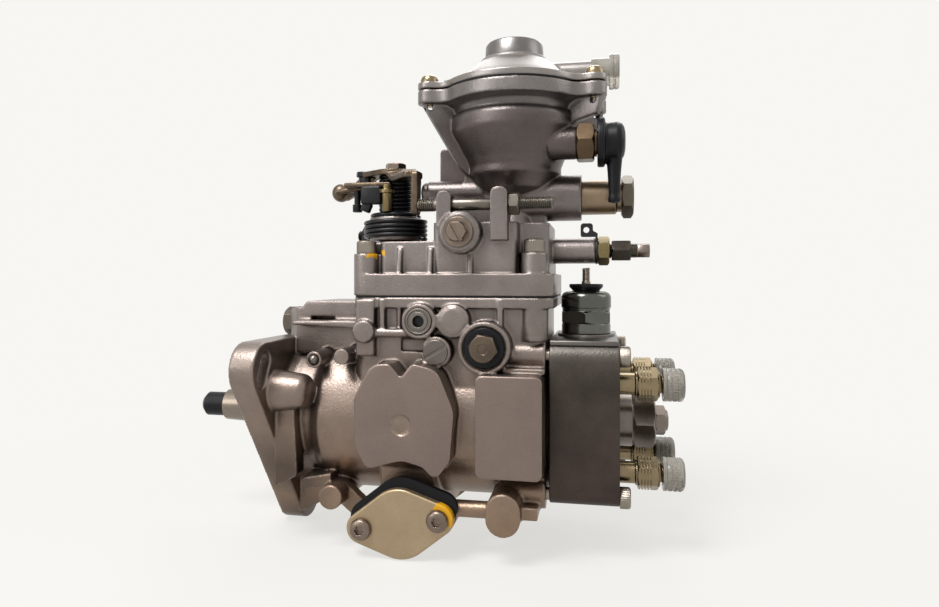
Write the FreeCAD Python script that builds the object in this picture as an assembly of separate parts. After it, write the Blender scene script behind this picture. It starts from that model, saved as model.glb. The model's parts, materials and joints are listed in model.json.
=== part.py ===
import FreeCAD, Part
import os
from math import acos, asin, atan2, cos, hypot, pi, radians, sin, sqrt, tan

V = FreeCAD.Vector

# Rotary diesel injection pump, in millimetres.
# X runs along the drive shaft towards the distributor head, Z is up, and the origin is the centre of the
# centring spigot in the plane of the flange face.

# Drive end
SHAFT_R = 10.0
TAPER_SMALL_R = 8.5
TAPER_END_X = -36.9
TAPER_START_X = -9.0
SHAFT_TIP_X = -50.0
END_CAP_R = 6.6
SPIGOT_R = 34.0
SPIGOT_LENGTH = 5.0
FLANGE_THICKNESS = 12.5
SIDE_EAR_Y = 51.0
SIDE_EAR_Z = 27.5
BOTTOM_EAR_Z = -47.0
EAR_R = 13.5
SLOT_WIDTH = 9.0
SLOT_LENGTH = 19.0
SIDE_SLOT_RADIUS = 60.3
SIDE_SLOT_ANGLE = 27.3

# Housing barrel and tower
BARREL_R = 40.0
WAIST_R = 36.0
WAIST_END_X = 28.0
BORE_R = 30.0
BORE_START_X = 10.0
BARREL_END_X = 146.0
HEAD_GAP = 1.7
TOWER_START_X = 50.3
TOWER_END_X = 150.0
TOWER_HALF = 38.0
TOWER_WALL_Y = 35.0
TOWER_INNER_Y = 31.0
TOWER_END_WALL = 5.5
PARTING_Z = 62.5
LIP_HEIGHT = 5.0
SEAL_THICKNESS = 0.8
PAD_Y = 50.0
PAD_CENTRE_X = 80.0
PAD_CENTRE_Z = 4.0
RING_PLUG = (86.0, 51.2)
RING_PLUG_R = 6.4
SLOTTED_DISC = (94.2, 36.5)
BALL = (31.3, 31.3)
BALL_HOLE_R = 2.7

INLET_Z = 48.0
INLET_FACE_X = 6.0

# Timing device, across the pump below the barrel
TIMING_X = 78.4
TIMING_Z = -44.0
TIMING_TUBE_R = 15.5
PISTON_R = 10.5
TIMING_FACE_Y = 42.1
TIMING_TILT = 9.6
TIMING_SCREW_REACH = 18.95
TIMING_EAR_R = 7.5
GASKET_THICKNESS = 3.0
GASKET_RISE = 4.5
TIMING_COVER_THICKNESS = 3.8
PISTON_HALF = 20.0
TIMING_TRAVEL = 5.0

# Governor, on its own shaft above the drive shaft
GEAR_MODULE = 2.0
DRIVE_TEETH = 27
GOVERNOR_TEETH = 24
GEAR_X = 57.0
GEAR_WIDTH = 6.0
TOOTH_BACKLASH = 0.25
GOVERNOR_Z = GEAR_MODULE * (DRIVE_TEETH + GOVERNOR_TEETH) / 2
GOVERNOR_SHAFT_R = 4.0
GOVERNOR_SPRING_Z = GOVERNOR_Z + 23.0
CAGE_R = 18.0
WEIGHT_PIVOT_X = 68.0
WEIGHT_PIVOT_R = 13.5
WEIGHT_END_X = 82.0
WEIGHT_OUTER_R = 16.0
WEIGHT_PIN_R = 1.2
SLEEVE_R = 8.0
SLEEVE_START_X = 70.0
SLEEVE_END_X = 106.0
SLEEVE_GAP = 0.4
LEVER_X = 118.0
LEVER_Z = 39.0
LEVER_BALL_Z = 9.0
LEVER_BALL_R = 2.5
COLLAR_R = 11.0
COLLAR_WIDTH = 10.0

# Feed pump, roller ring and cam plate
FEED_X = 12.0
FEED_WIDTH = 16.0
FEED_BORE_R = 20.0
FEED_OFFSET = 2.0
FEED_ROTOR_R = 17.6
VANE_THICKNESS = 2.6
ROLLER_RING_X = 72.0
ROLLER_RING_WIDTH = 12.0
ROLLER_R = 5.0
ROLLER_COUNT = 4
ROLLER_OUTER = BORE_R - 4.1
ROLLER_INNER = 16.1
ROLLER_X = 83.1
CAM_X = 90.4
CAM_THICKNESS = 6.6
CAM_R = BORE_R - 5.0
CAM_LIFT = 2.1
PLUNGER_R = 5.5
PLUNGER_END_X = 171.0

# Distributor head
HEAD_X = BARREL_END_X + HEAD_GAP
HEAD_END_X = HEAD_X + 32.6
HEAD_HALF_Y = 36.0
HEAD_BOTTOM_Z = -35.0
HEAD_TOP_Z = 41.3
HEAD_BOLT_Y = 30.0
HEAD_BOLT_TOP_Z = 35.0
HEAD_BOLT_LOW_Z = -31.0
HEAD_BOLT_R = 3.0
SPIGOT_DEPTH = 8.0
OUTLET_OFFSET = 21.2
OUTLET_STEM_R = 5.2
OUTLET_HEX = 14.0
VALVE_R = 3.0
VALVE_X = 163.2
SOLENOID_X = 164.3
SOLENOID_SEAT_Z = 43.6
SOLENOID_BORE_R = 6.0
ARMATURE_R = 5.0

# Governor cover
COVER_BAND_TOP = PARTING_Z + 11.5
SHELF_TOP = PARTING_Z + 27.5
BLOCK_TOP = PARTING_Z + 36.5
BLOCK_X = 91.0
BLOCK_END_X = 147.0
COVER_SCREW_X = (56.5, 140.5)
COVER_SCREW_Y = 31.5
COVER_SCREW_SEAT = PARTING_Z + 21.5
COVER_SCREW_REACH = 38.0
SCREW_BOSS_R = 6.3
CONTROL_X = 62.0
CONTROL_SHAFT_R = 5.0
CONTROL_BOSS_TOP = SHELF_TOP + 2.0
SPRING_SEAT_R = 14.0
SPRING_SEAT_TOP = CONTROL_BOSS_TOP + 12.8
SPRING_SLEEVE_R = 6.9
LEVER_PLATE_Z = SHELF_TOP + 36.7
LEVER_PLATE_THICKNESS = 3.9
LEVER_STEP = 5.0
STOP_ROD_Y = -34.0
STOP_ROD_Z = BLOCK_TOP + 8.5
STOP_ROD_R = 3.0
MAX_SPEED_Y = 22.4
MAX_SPEED_Z = SHELF_TOP + 6.5
BOSS_SCREW_X = 105.4
BOSS_SCREW_Z = BLOCK_TOP - 5.3
BOSS_SCREW_R = 4.0

# Boost chamber
BOOST_X = 127.0
NECK_R = 10.5
BOWL_BOTTOM_Z = BLOCK_TOP + 13.0
BOWL_R = 34.0
BOOST_R = 38.0
BOOST_FLANGE_Z = BLOCK_TOP + 62.0
BOOST_SEAM_Z = BOOST_FLANGE_Z + 7.0
DIAPHRAGM_THICKNESS = 0.8
BOOST_COVER_FLANGE = 3.4
BOOST_SCREW_R = BOOST_R + 7.0
BOOST_SCREW_SHANK_R = 2.5
BOOST_FILLET_R = 9.0
BOOST_EAR_ANGLE = 22.0
BOOST_EAR_R = 6.0
BOOST_CAP_R = 15.4
BOOST_CAP_Z = BOOST_SEAM_Z + 18.0
BOOST_TOP_Z = BOOST_CAP_Z + 9.0
PORT_Z = BOOST_SEAM_Z + 10.0
PORT_R = 6.0
BOOST_STEM_R = 5.5
GUIDE_Z = BLOCK_TOP + 14.5
GUIDE_R = 7.5
SENSING_PIN_R = 2.5
VENT_Y = -14.5
VENT_Z = BLOCK_TOP + 40.0
FULL_LOAD_Z = SHELF_TOP - 4.0
FULL_LOAD_R = 4.0

# Turned edges with a radius up to this are chamfered
CHAMFER_LIMIT = 2.6

# Clearances on the radius
RUNNING = 0.05
FREE = 0.2
SEAT = 0.02


def box(x0, x1, y0, y1, z0, z1):
    return Part.makeBox(x1 - x0, y1 - y0, z1 - z0, V(x0, y0, z0))


def xrod(r, x0, x1, y=0.0, z=0.0):
    return Part.makeCylinder(r, x1 - x0, V(x0, y, z), V(1, 0, 0))


def yrod(r, y0, y1, x=0.0, z=0.0):
    return Part.makeCylinder(r, y1 - y0, V(x, y0, z), V(0, 1, 0))


def zrod(r, z0, z1, x=0.0, y=0.0):
    return Part.makeCylinder(r, z1 - z0, V(x, y, z0), V(0, 0, 1))


def rounded_outline(corners, chamfer_up_to=0.0):
    """Closed flat wire through (u, v, radius) corners; the smallest radii become straight chamfers."""
    count = len(corners)
    bends = []
    for i, (u, v, radius) in enumerate(corners):
        corner = V(u, v, 0)
        before = V(corners[i - 1][0], corners[i - 1][1], 0) - corner
        after = V(corners[(i + 1) % count][0], corners[(i + 1) % count][1], 0) - corner
        before.normalize()
        after.normalize()
        if radius == 0:
            bends.append((corner, corner, corner))
            continue
        half = before.getAngle(after) / 2
        reach = radius / tan(half)
        inward = (before + after).normalize()
        middle = corner + inward * (radius / sin(half) - radius)
        bends.append((corner + before * reach, middle, corner + after * reach))
    edges = []
    for i, (start, middle, end) in enumerate(bends):
        if (start - end).Length > 1e-6:
            if corners[i][2] > chamfer_up_to:
                edges.append(Part.Arc(start, middle, end).toShape())
            else:
                edges.append(Part.makeLine(start, end))
        following = bends[(i + 1) % count][0]
        if (following - end).Length > 1e-6:
            edges.append(Part.makeLine(end, following))
    return Part.Wire(edges)


def hull_outline(circles):
    """Closed wire of tangents and arcs round (u, v, radius) circles given anticlockwise."""
    count = len(circles)
    angles = []
    for i, (u0, v0, r0) in enumerate(circles):
        u1, v1, r1 = circles[(i + 1) % count]
        span = hypot(u1 - u0, v1 - v0)
        angles.append(atan2(v1 - v0, u1 - u0) - acos((r0 - r1) / span))
    edges = []
    for i, (u, v, r) in enumerate(circles):
        first = angles[i - 1]
        last = angles[i]
        while last < first:
            last += 2 * pi
        at = [V(u + r * cos(a), v + r * sin(a), 0) for a in (first, (first + last) / 2, last)]
        edges.append(Part.Arc(*at).toShape())
        nu, nv, nr = circles[(i + 1) % count]
        following = V(nu + nr * cos(angles[i]), nv + nr * sin(angles[i]), 0)
        edges.append(Part.makeLine(at[2], following))
    return Part.Wire(edges)


def place(solid, axis, low, high):
    """Turns a solid built along Z from 0 so that it lies along axis from low to high."""
    if axis == "x":
        solid.rotate(V(0, 0, 0), V(1, 1, 1), 120)
        solid.translate(V(low, 0, 0))
    elif axis == "y":
        solid.rotate(V(0, 0, 0), V(1, 0, 0), 90)
        solid.translate(V(0, high, 0))
    else:
        solid.translate(V(0, 0, low))
    return solid


def plate(outline, axis, low, high):
    """Flat plate: an outline in (Y, Z), (X, Z) or (X, Y) carried along x, y or z."""
    return place(Part.Face(outline).extrude(V(0, 0, high - low)), axis, low, high)


def turned(corners, axis, at=(0, 0, 0)):
    """Solid of revolution from (along, radius, rounding) corners."""
    outline = rounded_outline(corners, CHAMFER_LIMIT)
    solid = Part.Face(outline).revolve(V(0, 0, 0), V(1, 0, 0), 360)
    if axis == "y":
        solid.rotate(V(0, 0, 0), V(0, 0, 1), 90)
    elif axis == "z":
        solid.rotate(V(0, 0, 0), V(0, 1, 0), -90)
    solid.translate(V(*at))
    return solid


def hex_prism(flats, axis, low, high, at=(0.0, 0.0), turn=0.0):
    corner = flats / sqrt(3)
    points = [(at[0] + corner * cos(radians(turn + 60 * i)), at[1] + corner * sin(radians(turn + 60 * i)), 0)
              for i in range(6)]
    return plate(rounded_outline(points), axis, low, high)


def hexagon(flats, axis, low, high, at=(0.0, 0.0), turn=0.0):
    """Hexagonal prism with chamfered corners at both ends."""
    corner = flats / sqrt(3)
    prism = hex_prism(flats, axis, low, high, at, turn)
    crown = flats / 2 + 0.35 * (corner - flats / 2)
    ends = turned([(low, 0, 0), (low, crown, 0), (low + 0.9, corner + 0.1, 0), (high - 0.9, corner + 0.1, 0),
                   (high, crown, 0), (high, 0, 0)], axis, around(axis, at))
    return prism.common(ends)


def around(axis, at):
    if axis == "x":
        return (0, at[0], at[1])
    if axis == "y":
        return (at[0], 0, at[1])
    return (at[0], at[1], 0)


def fuse(first, *others):
    return first.multiFuse(list(others)).removeSplitter()


def cut(first, *others):
    return first.cut(list(others))


def mirrored(solid):
    return solid.mirror(V(0, 0, 0), V(0, 1, 0))


def both_sides(solid):
    return [solid, mirrored(solid)]


def coil(mean_r, wire, pitch, height):
    """Compression spring of square wire standing on Z = 0."""
    half = wire / 2
    outline = [V(mean_r + a * half, 0, b * half) for a, b in ((-1, -1), (1, -1), (1, 1), (-1, 1), (-1, -1))]
    path = Part.makeHelix(pitch, height - wire, mean_r)
    spring = Part.Wire(path).makePipeShell([Part.makePolygon(outline)], True, True)
    spring.translate(V(0, 0, half))
    return spring


def spring_along(axis, low, high, mean_r, wire, pitch, at=(0.0, 0.0)):
    spring = coil(mean_r, wire, pitch, high - low)
    place(spring, axis, low, high)
    spring.translate(V(*around(axis, at)))
    return spring


def gear(module, teeth, width, bore, first_tooth):
    """Straight involute gear about Z, with a tooth centred at the angle first_tooth."""
    pressure = radians(20)
    pitch_r = module * teeth / 2
    base_r = pitch_r * cos(pressure)
    tip_r = pitch_r + module
    root_r = pitch_r - 1.25 * module
    half = (pi * module / 2 - TOOTH_BACKLASH) / (2 * pitch_r) + tan(pressure) - pressure
    radii = [base_r, (base_r + pitch_r) / 2, pitch_r, (pitch_r + tip_r) / 2, tip_r]
    flank = [(root_r, half)]
    for radius in radii:
        roll = acos(min(1.0, base_r / radius))
        flank.append((radius, half - (tan(roll) - roll)))
    points = []
    for i in range(teeth):
        centre = radians(first_tooth) + 2 * pi * i / teeth
        for radius, angle in flank:
            points.append(V(radius * cos(centre - angle), radius * sin(centre - angle), 0))
        for radius, angle in reversed(flank):
            points.append(V(radius * cos(centre + angle), radius * sin(centre + angle), 0))
    blank = Part.Face(Part.makePolygon(points + [points[0]])).extrude(V(0, 0, width))
    return blank.cut(zrod(bore, -1, width + 1))


def pan_screw(head_r, head_height, shank_r, length):
    """Screw along Z with its head above Z = 0 and a hexagonal socket."""
    head = turned([(0, 0, 0), (0, head_r, 0.4), (head_height, head_r - 0.5, 1.0), (head_height, 0, 0)], "z")
    shank = zrod(shank_r, -length, 0.1)
    socket = hex_prism(head_r * 0.9, "z", head_height * 0.45, head_height + 1)
    return cut(fuse(head, shank), socket)


def socket_screw(head_r, head_height, shank_r, length):
    head = turned([(0, 0, 0), (0, head_r, 0), (head_height, head_r, 0.7), (head_height, 0, 0)], "z")
    shank = zrod(shank_r, -length, 0.1)
    socket = hex_prism(head_r * 1.15, "z", head_height * 0.4, head_height + 1)
    return cut(fuse(head, shank), socket)


def towards(solid, axis, at):
    """Lays a solid built up along Z so that it faces +X, -Y, +Y or +Z, then moves it to at."""
    if axis == "+x":
        solid.rotate(V(0, 0, 0), V(0, 1, 0), 90)
    elif axis == "-y":
        solid.rotate(V(0, 0, 0), V(1, 0, 0), 90)
    elif axis == "+y":
        solid.rotate(V(0, 0, 0), V(1, 0, 0), -90)
    elif axis == "-x":
        solid.rotate(V(0, 0, 0), V(0, 1, 0), -90)
    solid.translate(V(*at))
    return solid


def arc_slot(radius, angle):
    """Flange slot that follows a circle about the shaft, as a cutter."""
    half_turn = (SLOT_LENGTH - SLOT_WIDTH) / 2 / radius
    middle = radians(angle)
    r0 = radius - SLOT_WIDTH / 2
    r1 = radius + SLOT_WIDTH / 2

    def at(r, a, beyond=0.0):
        return V(r * cos(a) - beyond * sin(a), r * sin(a) + beyond * cos(a), 0)

    low = middle - half_turn
    high = middle + half_turn
    edges = [
        Part.Arc(at(r1, low), at(r1, middle), at(r1, high)).toShape(),
        Part.Arc(at(r1, high), at(radius, high, SLOT_WIDTH / 2), at(r0, high)).toShape(),
        Part.Arc(at(r0, high), at(r0, middle), at(r0, low)).toShape(),
        Part.Arc(at(r0, low), at(radius, low, -SLOT_WIDTH / 2), at(r1, low)).toShape(),
    ]
    return plate(Part.Wire(edges), "x", -SPIGOT_LENGTH, FLANGE_THICKNESS + 5)


def timing_ears():
    """The two screw places of the timing covers, as (X, Z)."""
    reach = TIMING_SCREW_REACH
    tilt = radians(TIMING_TILT)
    return [(TIMING_X - reach * cos(tilt), TIMING_Z - reach * sin(tilt)),
            (TIMING_X + reach * cos(tilt), TIMING_Z + reach * sin(tilt))]


def timing_outline():
    """Diamond of the timing covers: a centre circle and two screw ears."""
    left, right = timing_ears()
    lift = TIMING_TUBE_R - 0.5
    lean = radians(TIMING_TILT + 90)
    up = (0.6 * cos(lean), 0.6 * sin(lean))
    return hull_outline([
        (left[0], left[1], TIMING_EAR_R),
        (TIMING_X - up[0], TIMING_Z - up[1], lift + 1.0),
        (right[0], right[1], TIMING_EAR_R),
        (TIMING_X + up[0], TIMING_Z + up[1], lift + 1.0),
    ])


def crown_pad():
    """Flat machined pad with two lobes above and a hollow below that follows the timing cover."""
    x = PAD_CENTRE_X
    z = PAD_CENTRE_Z
    outline = rounded_outline([
        (x - 0.5, z + 21.0, 1.5), (x - 6.0, z + 27.5, 3.0), (x - 15.0, z + 27.0, 7.0), (x - 23.5, z + 11.0, 12.0),
        (x - 23.0, z - 12.0, 8.0), (x - 17.0, z - 22.5, 4.0), (x - 9.0, z - 20.0, 6.0), (x, z - 17.5, 12.0),
        (x + 10.0, z - 20.0, 6.0), (x + 16.0, z - 26.0, 3.5), (x + 23.0, z - 17.0, 6.0), (x + 25.0, z + 6.0, 12.0),
        (x + 17.0, z + 25.0, 8.0), (x + 5.0, z + 28.0, 3.0),
    ])
    pad = plate(outline, "y", -PAD_Y, -BORE_R - 2)
    mark = yrod(5.0, -PAD_Y - 1, -PAD_Y + 0.5, x - 0.5, z - 1)
    return cut(pad, mark)


def near_side_bosses():
    """Bosses, ribs and the pivot boss on the photographed side of the governor tower."""
    wall = TOWER_WALL_Y - 4
    under = PARTING_Z - 1
    parts = [
        yrod(12.5, -44, -wall, LEVER_X, LEVER_Z),
        yrod(8.5, -42, -wall, *RING_PLUG),
        yrod(8.0, -41.0, -wall, 102.4, 51.4),
        yrod(6.0, -41.8, -wall, 102.4, 51.4),
        plate(rounded_outline([(90, 48.6, 0), (100, 48.6, 0), (100, 54.0, 0), (90, 54.0, 0)]), "y", -39.5, -wall),
        yrod(7.5, -41, -wall, *SLOTTED_DISC),
        yrod(5.5, -42.5, -wall, 58.2, 46.0),
        box(53.5, 62.9, -39.5, -wall, 34.0, under),
        xrod(2.2, 60.0, 80.0, -38.0, 45.2),
        box(60.0, 80.0, -38.0, -wall, 43.4, 46.6),
        box(65.5, 68.0, -39.0, -wall, 46.0, under),
        box(74.0, 76.0, -37.5, -wall, 46.0, under),
        box(106.0, 108.5, -37.5, -wall, 50.0, under),
        box(123.5, 126.0, -38.5, -wall, 48.0, under),
        zrod(6.5, 42.0, under, 140.5, -COVER_SCREW_Y),
        plate(rounded_outline([(126, 27, 0), (BARREL_END_X, 27, 0), (BARREL_END_X, 29.5, 0), (126, 29.5, 0)]),
              "y", -40.0, -wall),
    ]
    return parts


def far_side_bosses():
    wall = TOWER_WALL_Y - 4
    parts = [yrod(12.5, wall, 44, LEVER_X, LEVER_Z), yrod(8.5, wall, 42, 86.0, 51.2)]
    for x in (62.0, 74.0, 100.0, 132.0):
        parts.append(box(x, x + 3.5, wall, 38.0, 40.0, PARTING_Z - 1))
    return parts


def flange():
    ears = [(-SIDE_EAR_Y, SIDE_EAR_Z, EAR_R), (0, BOTTOM_EAR_Z, EAR_R), (SIDE_EAR_Y, SIDE_EAR_Z, EAR_R)]
    return plate(hull_outline(ears), "x", 0, FLANGE_THICKNESS)


def flange_slots():
    return [arc_slot(SIDE_SLOT_RADIUS, SIDE_SLOT_ANGLE), arc_slot(SIDE_SLOT_RADIUS, 180 - SIDE_SLOT_ANGLE),
            arc_slot(-BOTTOM_EAR_Z, -90)]


def flange_stiffeners():
    """Rounded cones and gussets that carry the flange ears back to the barrel."""
    parts = []
    cone = turned([(12, 0, 0), (12, 10.5, 0), (31, 8.0, 5.0), (31, 0, 0)], "x", (0, -41.0, 16.0))
    gusset = plate(rounded_outline([(12, -32, 0), (24, -26, 3), (22, 14, 0), (12, 14, 0)]), "y", -42.0, -33.0)
    parts += both_sides(cone)
    parts += both_sides(gusset)
    keel = plate(rounded_outline([(12, -54, 0), (17, -52, 3), (44, -37, 0), (44, -30, 0), (12, -30, 0)]), "y", 10.2, 13.4)
    parts += both_sides(keel)
    return parts


def lower_bosses():
    capsule = plate(hull_outline([(127.6, -38.4, 8.0), (127.6, -34.6, 8.0)]), "y", -PAD_Y, -8)
    rib = box(134.0, 143.0, -44.0, -14.0, -40.0, -34.0)
    pipe = xrod(4.0, 92.0, 122.0, -38.0, -38.0)
    left = yrod(6.0, -44.0, 8.0, 42.0, -35.0)
    web = plate(rounded_outline([(42, -40, 0), (62, -56, 0), (66, -48, 0), (46, -30, 0)]), "y", -34.0, -28.0)
    diagonal = plate(rounded_outline([(24, -34, 0), (40, -31, 0), (40, -25, 0), (24, -28, 0)]), "y", -38.0, -22.0)
    return [capsule, rib, pipe, left, web, diagonal, mirrored(web), yrod(6.0, -8, 44.0, 42.0, -35.0)]


def inlet_block():
    """Fuel inlet block above the flange, with a thin ledge on the photographed side."""
    x = INLET_FACE_X
    block = plate(rounded_outline([(x, 33, 0), (52, 33, 0), (52, 60, 2), (19, 60, 3), (17, 57, 2), (x, 56, 3)]), "y", -20, 22)
    corner = plate(rounded_outline([(x - 1, -10.0, 0), (x + 8.5, -21.0, 0), (x - 1, -21.0, 0)]), "z", 32.0, 61.0)
    ledge = plate(rounded_outline([(16, 48.0, 0), (54, 46.4, 0), (54, 50.4, 0), (30, 50.4, 0), (16, 49.9, 0)]), "y", -31.0, -19.0)
    slit = box(21.5, 35.0, -32.0, -13.0, 50.2, 51.8)
    return cut(fuse(cut(block, corner), ledge), slit)


def housing_outside():
    barrel = turned([
        (-SPIGOT_LENGTH, 0, 0), (-SPIGOT_LENGTH, SPIGOT_R, 1.0), (0, SPIGOT_R, 0), (0, WAIST_R + 2, 0),
        (FLANGE_THICKNESS, WAIST_R + 2, 0), (FLANGE_THICKNESS + 4, WAIST_R, 3.0), (WAIST_END_X, WAIST_R, 4.0),
        (WAIST_END_X + 6, BARREL_R, 3.0), (BARREL_END_X, BARREL_R, 1.0), (BARREL_END_X, 0, 0),
    ], "x")
    x0 = TOWER_START_X
    x1 = BARREL_END_X
    wall = plate(rounded_outline([(x0, -TOWER_WALL_Y, 7), (x1, -TOWER_WALL_Y, 7), (x1, TOWER_WALL_Y, 7),
                                  (x0, TOWER_WALL_Y, 7)]), "z", 0, PARTING_Z - 1)
    lip = plate(tower_outline(), "z", PARTING_Z - LIP_HEIGHT, PARTING_Z)
    timing = yrod(TIMING_TUBE_R, -TIMING_FACE_Y + 1, TIMING_FACE_Y - 1, TIMING_X, TIMING_Z)
    saddle = box(TIMING_X - 14, TIMING_X + 14, -34, 34, TIMING_Z + 2, -20)
    face = plate(timing_outline(), "y", -TIMING_FACE_Y, -TIMING_FACE_Y + 9)
    square_pad = plate(rounded_outline([(115, -20, 3), (145.5, -20, 3), (145.5, 27, 3), (115, 27, 3)]),
                       "y", -PAD_Y, -BORE_R - 2)
    parts = [flange(), wall, lip, timing, saddle, face, crown_pad(), square_pad, inlet_block()]
    parts.append(mirrored(face))
    parts.append(yrod(20.0, BORE_R + 2, 46.0, PAD_CENTRE_X, PAD_CENTRE_Z))
    parts.append(yrod(4.2, -39.0, -18.0, *BALL))
    parts.append(yrod(4.0, -42.0, -18.0, 47.0, 33.4))
    parts += near_side_bosses() + far_side_bosses() + flange_stiffeners() + lower_bosses()
    for y, z in head_bolt_places():
        parts.append(xrod(7.0, 124.0, BARREL_END_X, y, z))
    return fuse(barrel, *parts)


def tower_outline(inset=0.0):
    x0 = TOWER_START_X + inset
    x1 = TOWER_END_X - inset
    y = TOWER_HALF - inset
    return rounded_outline([(x0, -y, 8 - inset), (x1, -y, 8 - inset), (x1, y, 8 - inset), (x0, y, 8 - inset)])


def cover_screw_places():
    return [(x, side * COVER_SCREW_Y) for x in COVER_SCREW_X for side in (-1, 1)]


def head_bolt_places():
    return [(side * HEAD_BOLT_Y, z) for side in (-1, 1) for z in (HEAD_BOLT_TOP_Z, HEAD_BOLT_LOW_Z)]


def tower_hollow(top):
    """Inside of the tower: a box with the screw bosses left standing in its corners."""
    x0 = TOWER_START_X + TOWER_END_WALL
    x1 = BLOCK_END_X - TOWER_END_WALL
    hollow = plate(rounded_outline([(x0, -TOWER_INNER_Y, 5), (x1, -TOWER_INNER_Y, 5), (x1, TOWER_INNER_Y, 5),
                                    (x0, TOWER_INNER_Y, 5)]), "z", 0, top)
    bosses = [zrod(SCREW_BOSS_R, -1, top + 1, x, y) for x, y in cover_screw_places()]
    bosses += [xrod(7.0, 124.0, BARREL_END_X, y, z) for y, z in head_bolt_places()]
    return cut(hollow, *bosses)


def pump_housing():
    body = housing_outside()
    gear_room = xrod(GEAR_MODULE * (GOVERNOR_TEETH / 2 + 1) + 0.7, TOWER_START_X + TOWER_END_WALL,
                     GEAR_X + GEAR_WIDTH + 2, 0, GOVERNOR_Z)
    gear_room = gear_room.common(box(0, 200, -60, 60, 0, PARTING_Z + 30))
    cutters = [
        xrod(BORE_R, BORE_START_X, BARREL_END_X + 1),
        tower_hollow(PARTING_Z + 1),
        gear_room,
        xrod(GEAR_MODULE * (DRIVE_TEETH / 2 + 1) + 1.0, GEAR_X - 1.0, GEAR_X + GEAR_WIDTH + 2.0),
        xrod(12.0, 3.0, BORE_START_X + 1),
        xrod(15.0, -SPIGOT_LENGTH - 1, 3.0),
        yrod(PISTON_R + RUNNING, -TIMING_FACE_Y - 1, TIMING_FACE_Y + 1, TIMING_X, TIMING_Z),
        box(TIMING_X - 6, TIMING_X + 6, -7, 14, TIMING_Z, -BORE_R + 3),
        xrod(GOVERNOR_SHAFT_R + SEAT, 42.0, 60.0, 0, GOVERNOR_Z),
        xrod(5.0, 2.0, 26.0, 0, INLET_Z),
        xrod(9.0, -1.0, INLET_FACE_X, 0, INLET_Z),
        zrod(3.0, BORE_R - 6, 49.0, 20.0, 0),
        yrod(3.2, -60, -TOWER_INNER_Y + 2, *RING_PLUG),
        yrod(RING_PLUG_R + FREE / 4, -60, -38.0, *RING_PLUG),
        yrod(BALL_HOLE_R, -60, -35.6, *BALL),
        cut(yrod(5.6, -60, -PAD_Y + 0.5, 127.6, -37.0), yrod(4.9, -61, -PAD_Y + 1, 127.6, -37.0)),
        cut(yrod(3.2, -60, -41.6, 47.0, 33.4), yrod(2.4, -61, -41, 47.0, 33.4)),
        box(75.5, 88.0, -60, -TOWER_WALL_Y + 2, 36.0, 42.4),
    ]
    for side in (-1, 1):
        low, high = sorted((side * 60.0, side * (TOWER_INNER_Y - 1)))
        cutters.append(yrod(CONTROL_SHAFT_R + SEAT, low, high, LEVER_X, LEVER_Z))
        low, high = sorted((side * 60.0, side * 42.5))
        cutters.append(yrod(10.4, low, high, LEVER_X, LEVER_Z))
        for x, z in timing_ears():
            low, high = sorted((side * 60.0, side * 32.0))
            cutters.append(yrod(2.5 + SEAT, low, high, x, z))
    for x, y in cover_screw_places():
        cutters.append(zrod(3.0 + SEAT, COVER_SCREW_SEAT - COVER_SCREW_REACH - 4, PARTING_Z + 1, x, y))
    for y, z in head_bolt_places():
        cutters.append(xrod(HEAD_BOLT_R + SEAT, 129.0, BARREL_END_X + 1, y, z))
    return cut(body, *cutters, *flange_slots())


def cover_seal():
    """Flat seal in the parting plane between tower and cover."""
    ring = plate(tower_outline(0.3), "z", PARTING_Z, PARTING_Z + SEAL_THICKNESS)
    inner = box(TOWER_START_X + 6, BLOCK_END_X - 6, -TOWER_INNER_Y + 4, TOWER_INNER_Y - 4, PARTING_Z - 1, PARTING_Z + 2)
    holes = [zrod(3.3, PARTING_Z - 1, PARTING_Z + 2, x, y) for x, y in cover_screw_places()]
    return cut(ring, inner, *holes)


def boost_outline():
    """Plan of the boost chamber's lips: a circle with four ears run in by hollow fillets."""
    main = BOOST_R + BOOST_FILLET_R
    ear = BOOST_EAR_R + BOOST_FILLET_R
    spread = acos((main ** 2 + BOOST_SCREW_R ** 2 - ear ** 2) / (2 * main * BOOST_SCREW_R))

    def polar(radius, angle):
        return V(radius * cos(angle), radius * sin(angle), 0)

    edges = []
    angles = [radians(angle) for x, y, angle in boost_screw_places()]
    for i, angle in enumerate(angles):
        screw = polar(BOOST_SCREW_R, angle)
        arcs = []
        for side in (-1, 1):
            centre = polar(main, angle + side * spread)
            on_circle = polar(BOOST_R, angle + side * spread)
            on_ear = screw + (centre - screw) * (BOOST_EAR_R / ear)
            middle = centre + ((on_circle + on_ear) * 0.5 - centre).normalize() * BOOST_FILLET_R
            arcs.append((on_circle, middle, on_ear))
        before, after = arcs
        edges.append(Part.Arc(before[0], before[1], before[2]).toShape())
        edges.append(Part.Arc(before[2], polar(BOOST_SCREW_R + BOOST_EAR_R, angle), after[2]).toShape())
        edges.append(Part.Arc(after[2], after[1], after[0]).toShape())
        following = angles[(i + 1) % len(angles)]
        if following < angle:
            following += 2 * pi
        edges.append(Part.Arc(after[0], polar(BOOST_R, (angle + following) / 2), polar(BOOST_R, following - spread)).toShape())
    wire = Part.Wire(edges)
    wire.translate(V(BOOST_X, 0, 0))
    return wire


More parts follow.
